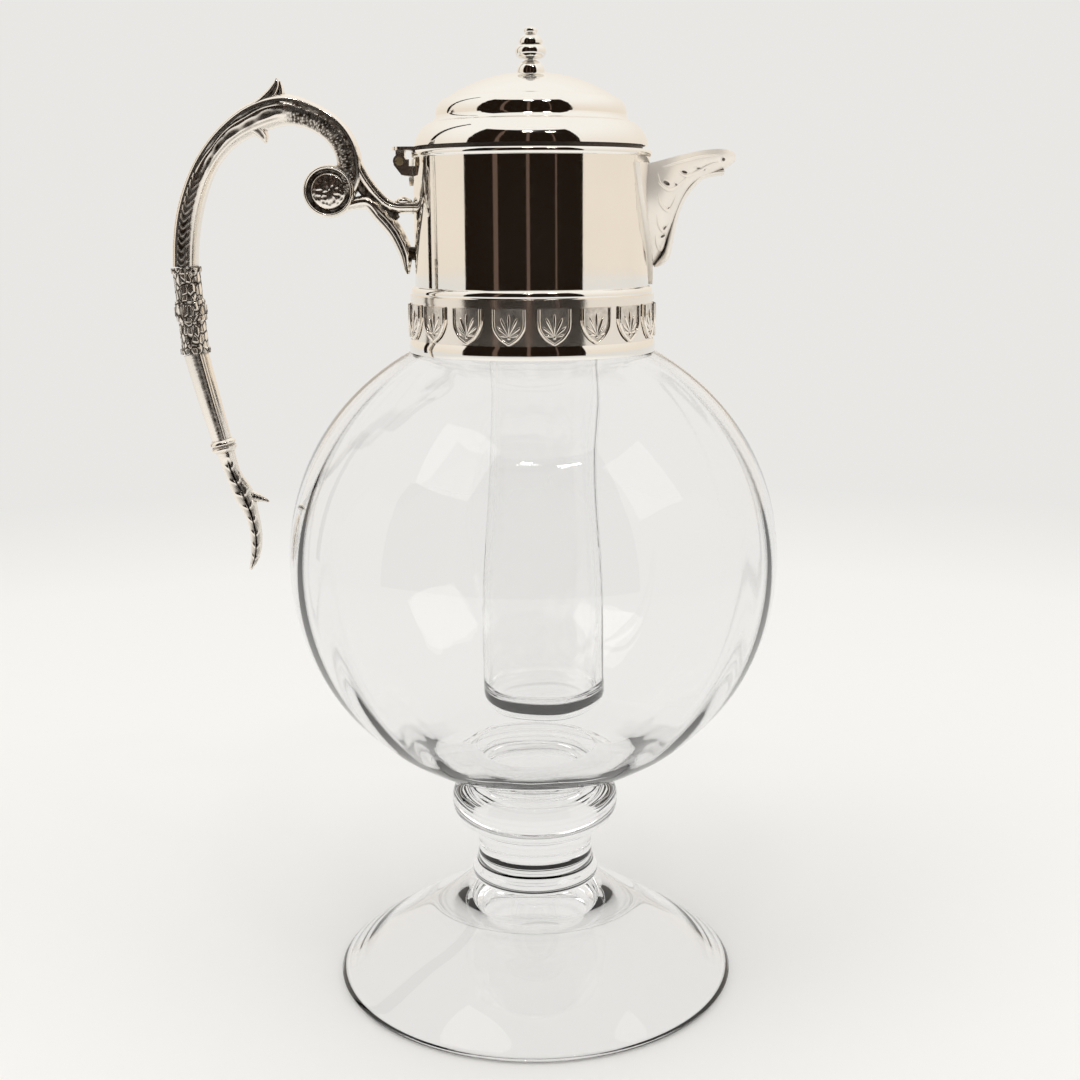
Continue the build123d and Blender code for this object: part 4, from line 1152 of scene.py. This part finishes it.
def dark_card():
    """Curved dark card behind the camera, which only the silver and the glass mirror."""
    deselect()
    bpy.ops.mesh.primitive_cylinder_add(vertices=240, radius=CARD_RADIUS, depth=CARD_HEIGHT,
                                        end_fill_type="NOTHING", location=(0, 0, 1.15))
    card = bpy.context.active_object
    card.name = "dark_card"
    card.data.materials.append(card_finish("card_dark", (0.012, 0.007, 0.004, 1.0)))
    card.data.materials.append(card_finish("card_streak", (0.13, 0.085, 0.065, 1.0)))
    bpy.ops.object.mode_set(mode="EDIT")
    bpy.ops.mesh.select_all(action="DESELECT")
    bpy.ops.mesh.select_mode(type="FACE")
    bpy.ops.object.mode_set(mode="OBJECT")
    for face in card.data.polygons:
        angle = math.degrees(math.atan2(face.center.x, -face.center.y))
        face.select = not within(angle, CARD_FACES)
        face.material_index = 1 if within(angle, CARD_STREAKS) else 0
    bpy.ops.object.mode_set(mode="EDIT")
    bpy.ops.mesh.delete(type="FACE")
    bpy.ops.object.mode_set(mode="OBJECT")
    card.visible_camera = False
    card.visible_diffuse = False
    card.visible_transmission = False
    card.visible_shadow = False


def view_camera():
    """Camera in front of the jug, level with its collar and tilted down a little."""
    data = bpy.data.cameras.new("camera")
    data.sensor_width = 36.0
    data.lens = LENS
    camera = bpy.data.objects.new("camera", data)
    bpy.context.scene.collection.objects.link(camera)
    camera.matrix_world = (
        Matrix.Translation(EYE)
        @ Matrix.Rotation(math.radians(90 - TILT), 4, "X")
        @ Matrix.Rotation(math.radians(ROLL), 4, "Z"))
    bpy.context.scene.camera = camera


class JUG_OT_stage(bpy.types.Operator):
    """Sets the table top, the backdrop, the lamps and the camera"""

    bl_idname = "jug.stage"
    bl_label = "Studio"

    def execute(self, context):
        studio_world()
        table_top()
        dark_card()
        for lamp in LAMPS:
            soft_lamp(*lamp)
        view_camera()
        context.scene.view_settings.view_transform = "Standard"
        return {"FINISHED"}


class JUG_PT_panel(bpy.types.Panel):
    """Lists the jug's pieces and settings in the sidebar"""

    bl_idname = "JUG_PT_panel"
    bl_label = "Lemonade Jug"
    bl_space_type = "VIEW_3D"
    bl_region_type = "UI"
    bl_category = "Jug"

    def draw(self, context):
        layout = self.layout
        for operator in OPERATORS:
            layout.operator(operator.bl_idname)
        for name in JugSettings.__annotations__:
            layout.prop(context.scene.jug_settings, name)


OPERATORS = [JUG_OT_finishes, JUG_OT_glass, JUG_OT_handle_arm, JUG_OT_handle_tail, JUG_OT_frieze,
             JUG_OT_spout, JUG_OT_stage]


def register():
    bpy.utils.register_class(JugSettings)
    for operator in OPERATORS:
        bpy.utils.register_class(operator)
    bpy.utils.register_class(JUG_PT_panel)
    bpy.types.Scene.jug_settings = bpy.props.PointerProperty(type=JugSettings)


def unregister():
    del bpy.types.Scene.jug_settings
    bpy.utils.unregister_class(JUG_PT_panel)
    for operator in reversed(OPERATORS):
        bpy.utils.unregister_class(operator)
    bpy.utils.unregister_class(JugSettings)


def main():
    register()
    bpy.ops.jug.finishes()
    bpy.ops.jug.glass()
    bpy.ops.jug.handle_arm()
    bpy.ops.jug.handle_tail()
    bpy.ops.jug.frieze()
    bpy.ops.jug.spout()
    bpy.ops.jug.stage()


if __name__ == "__main__":
    main()
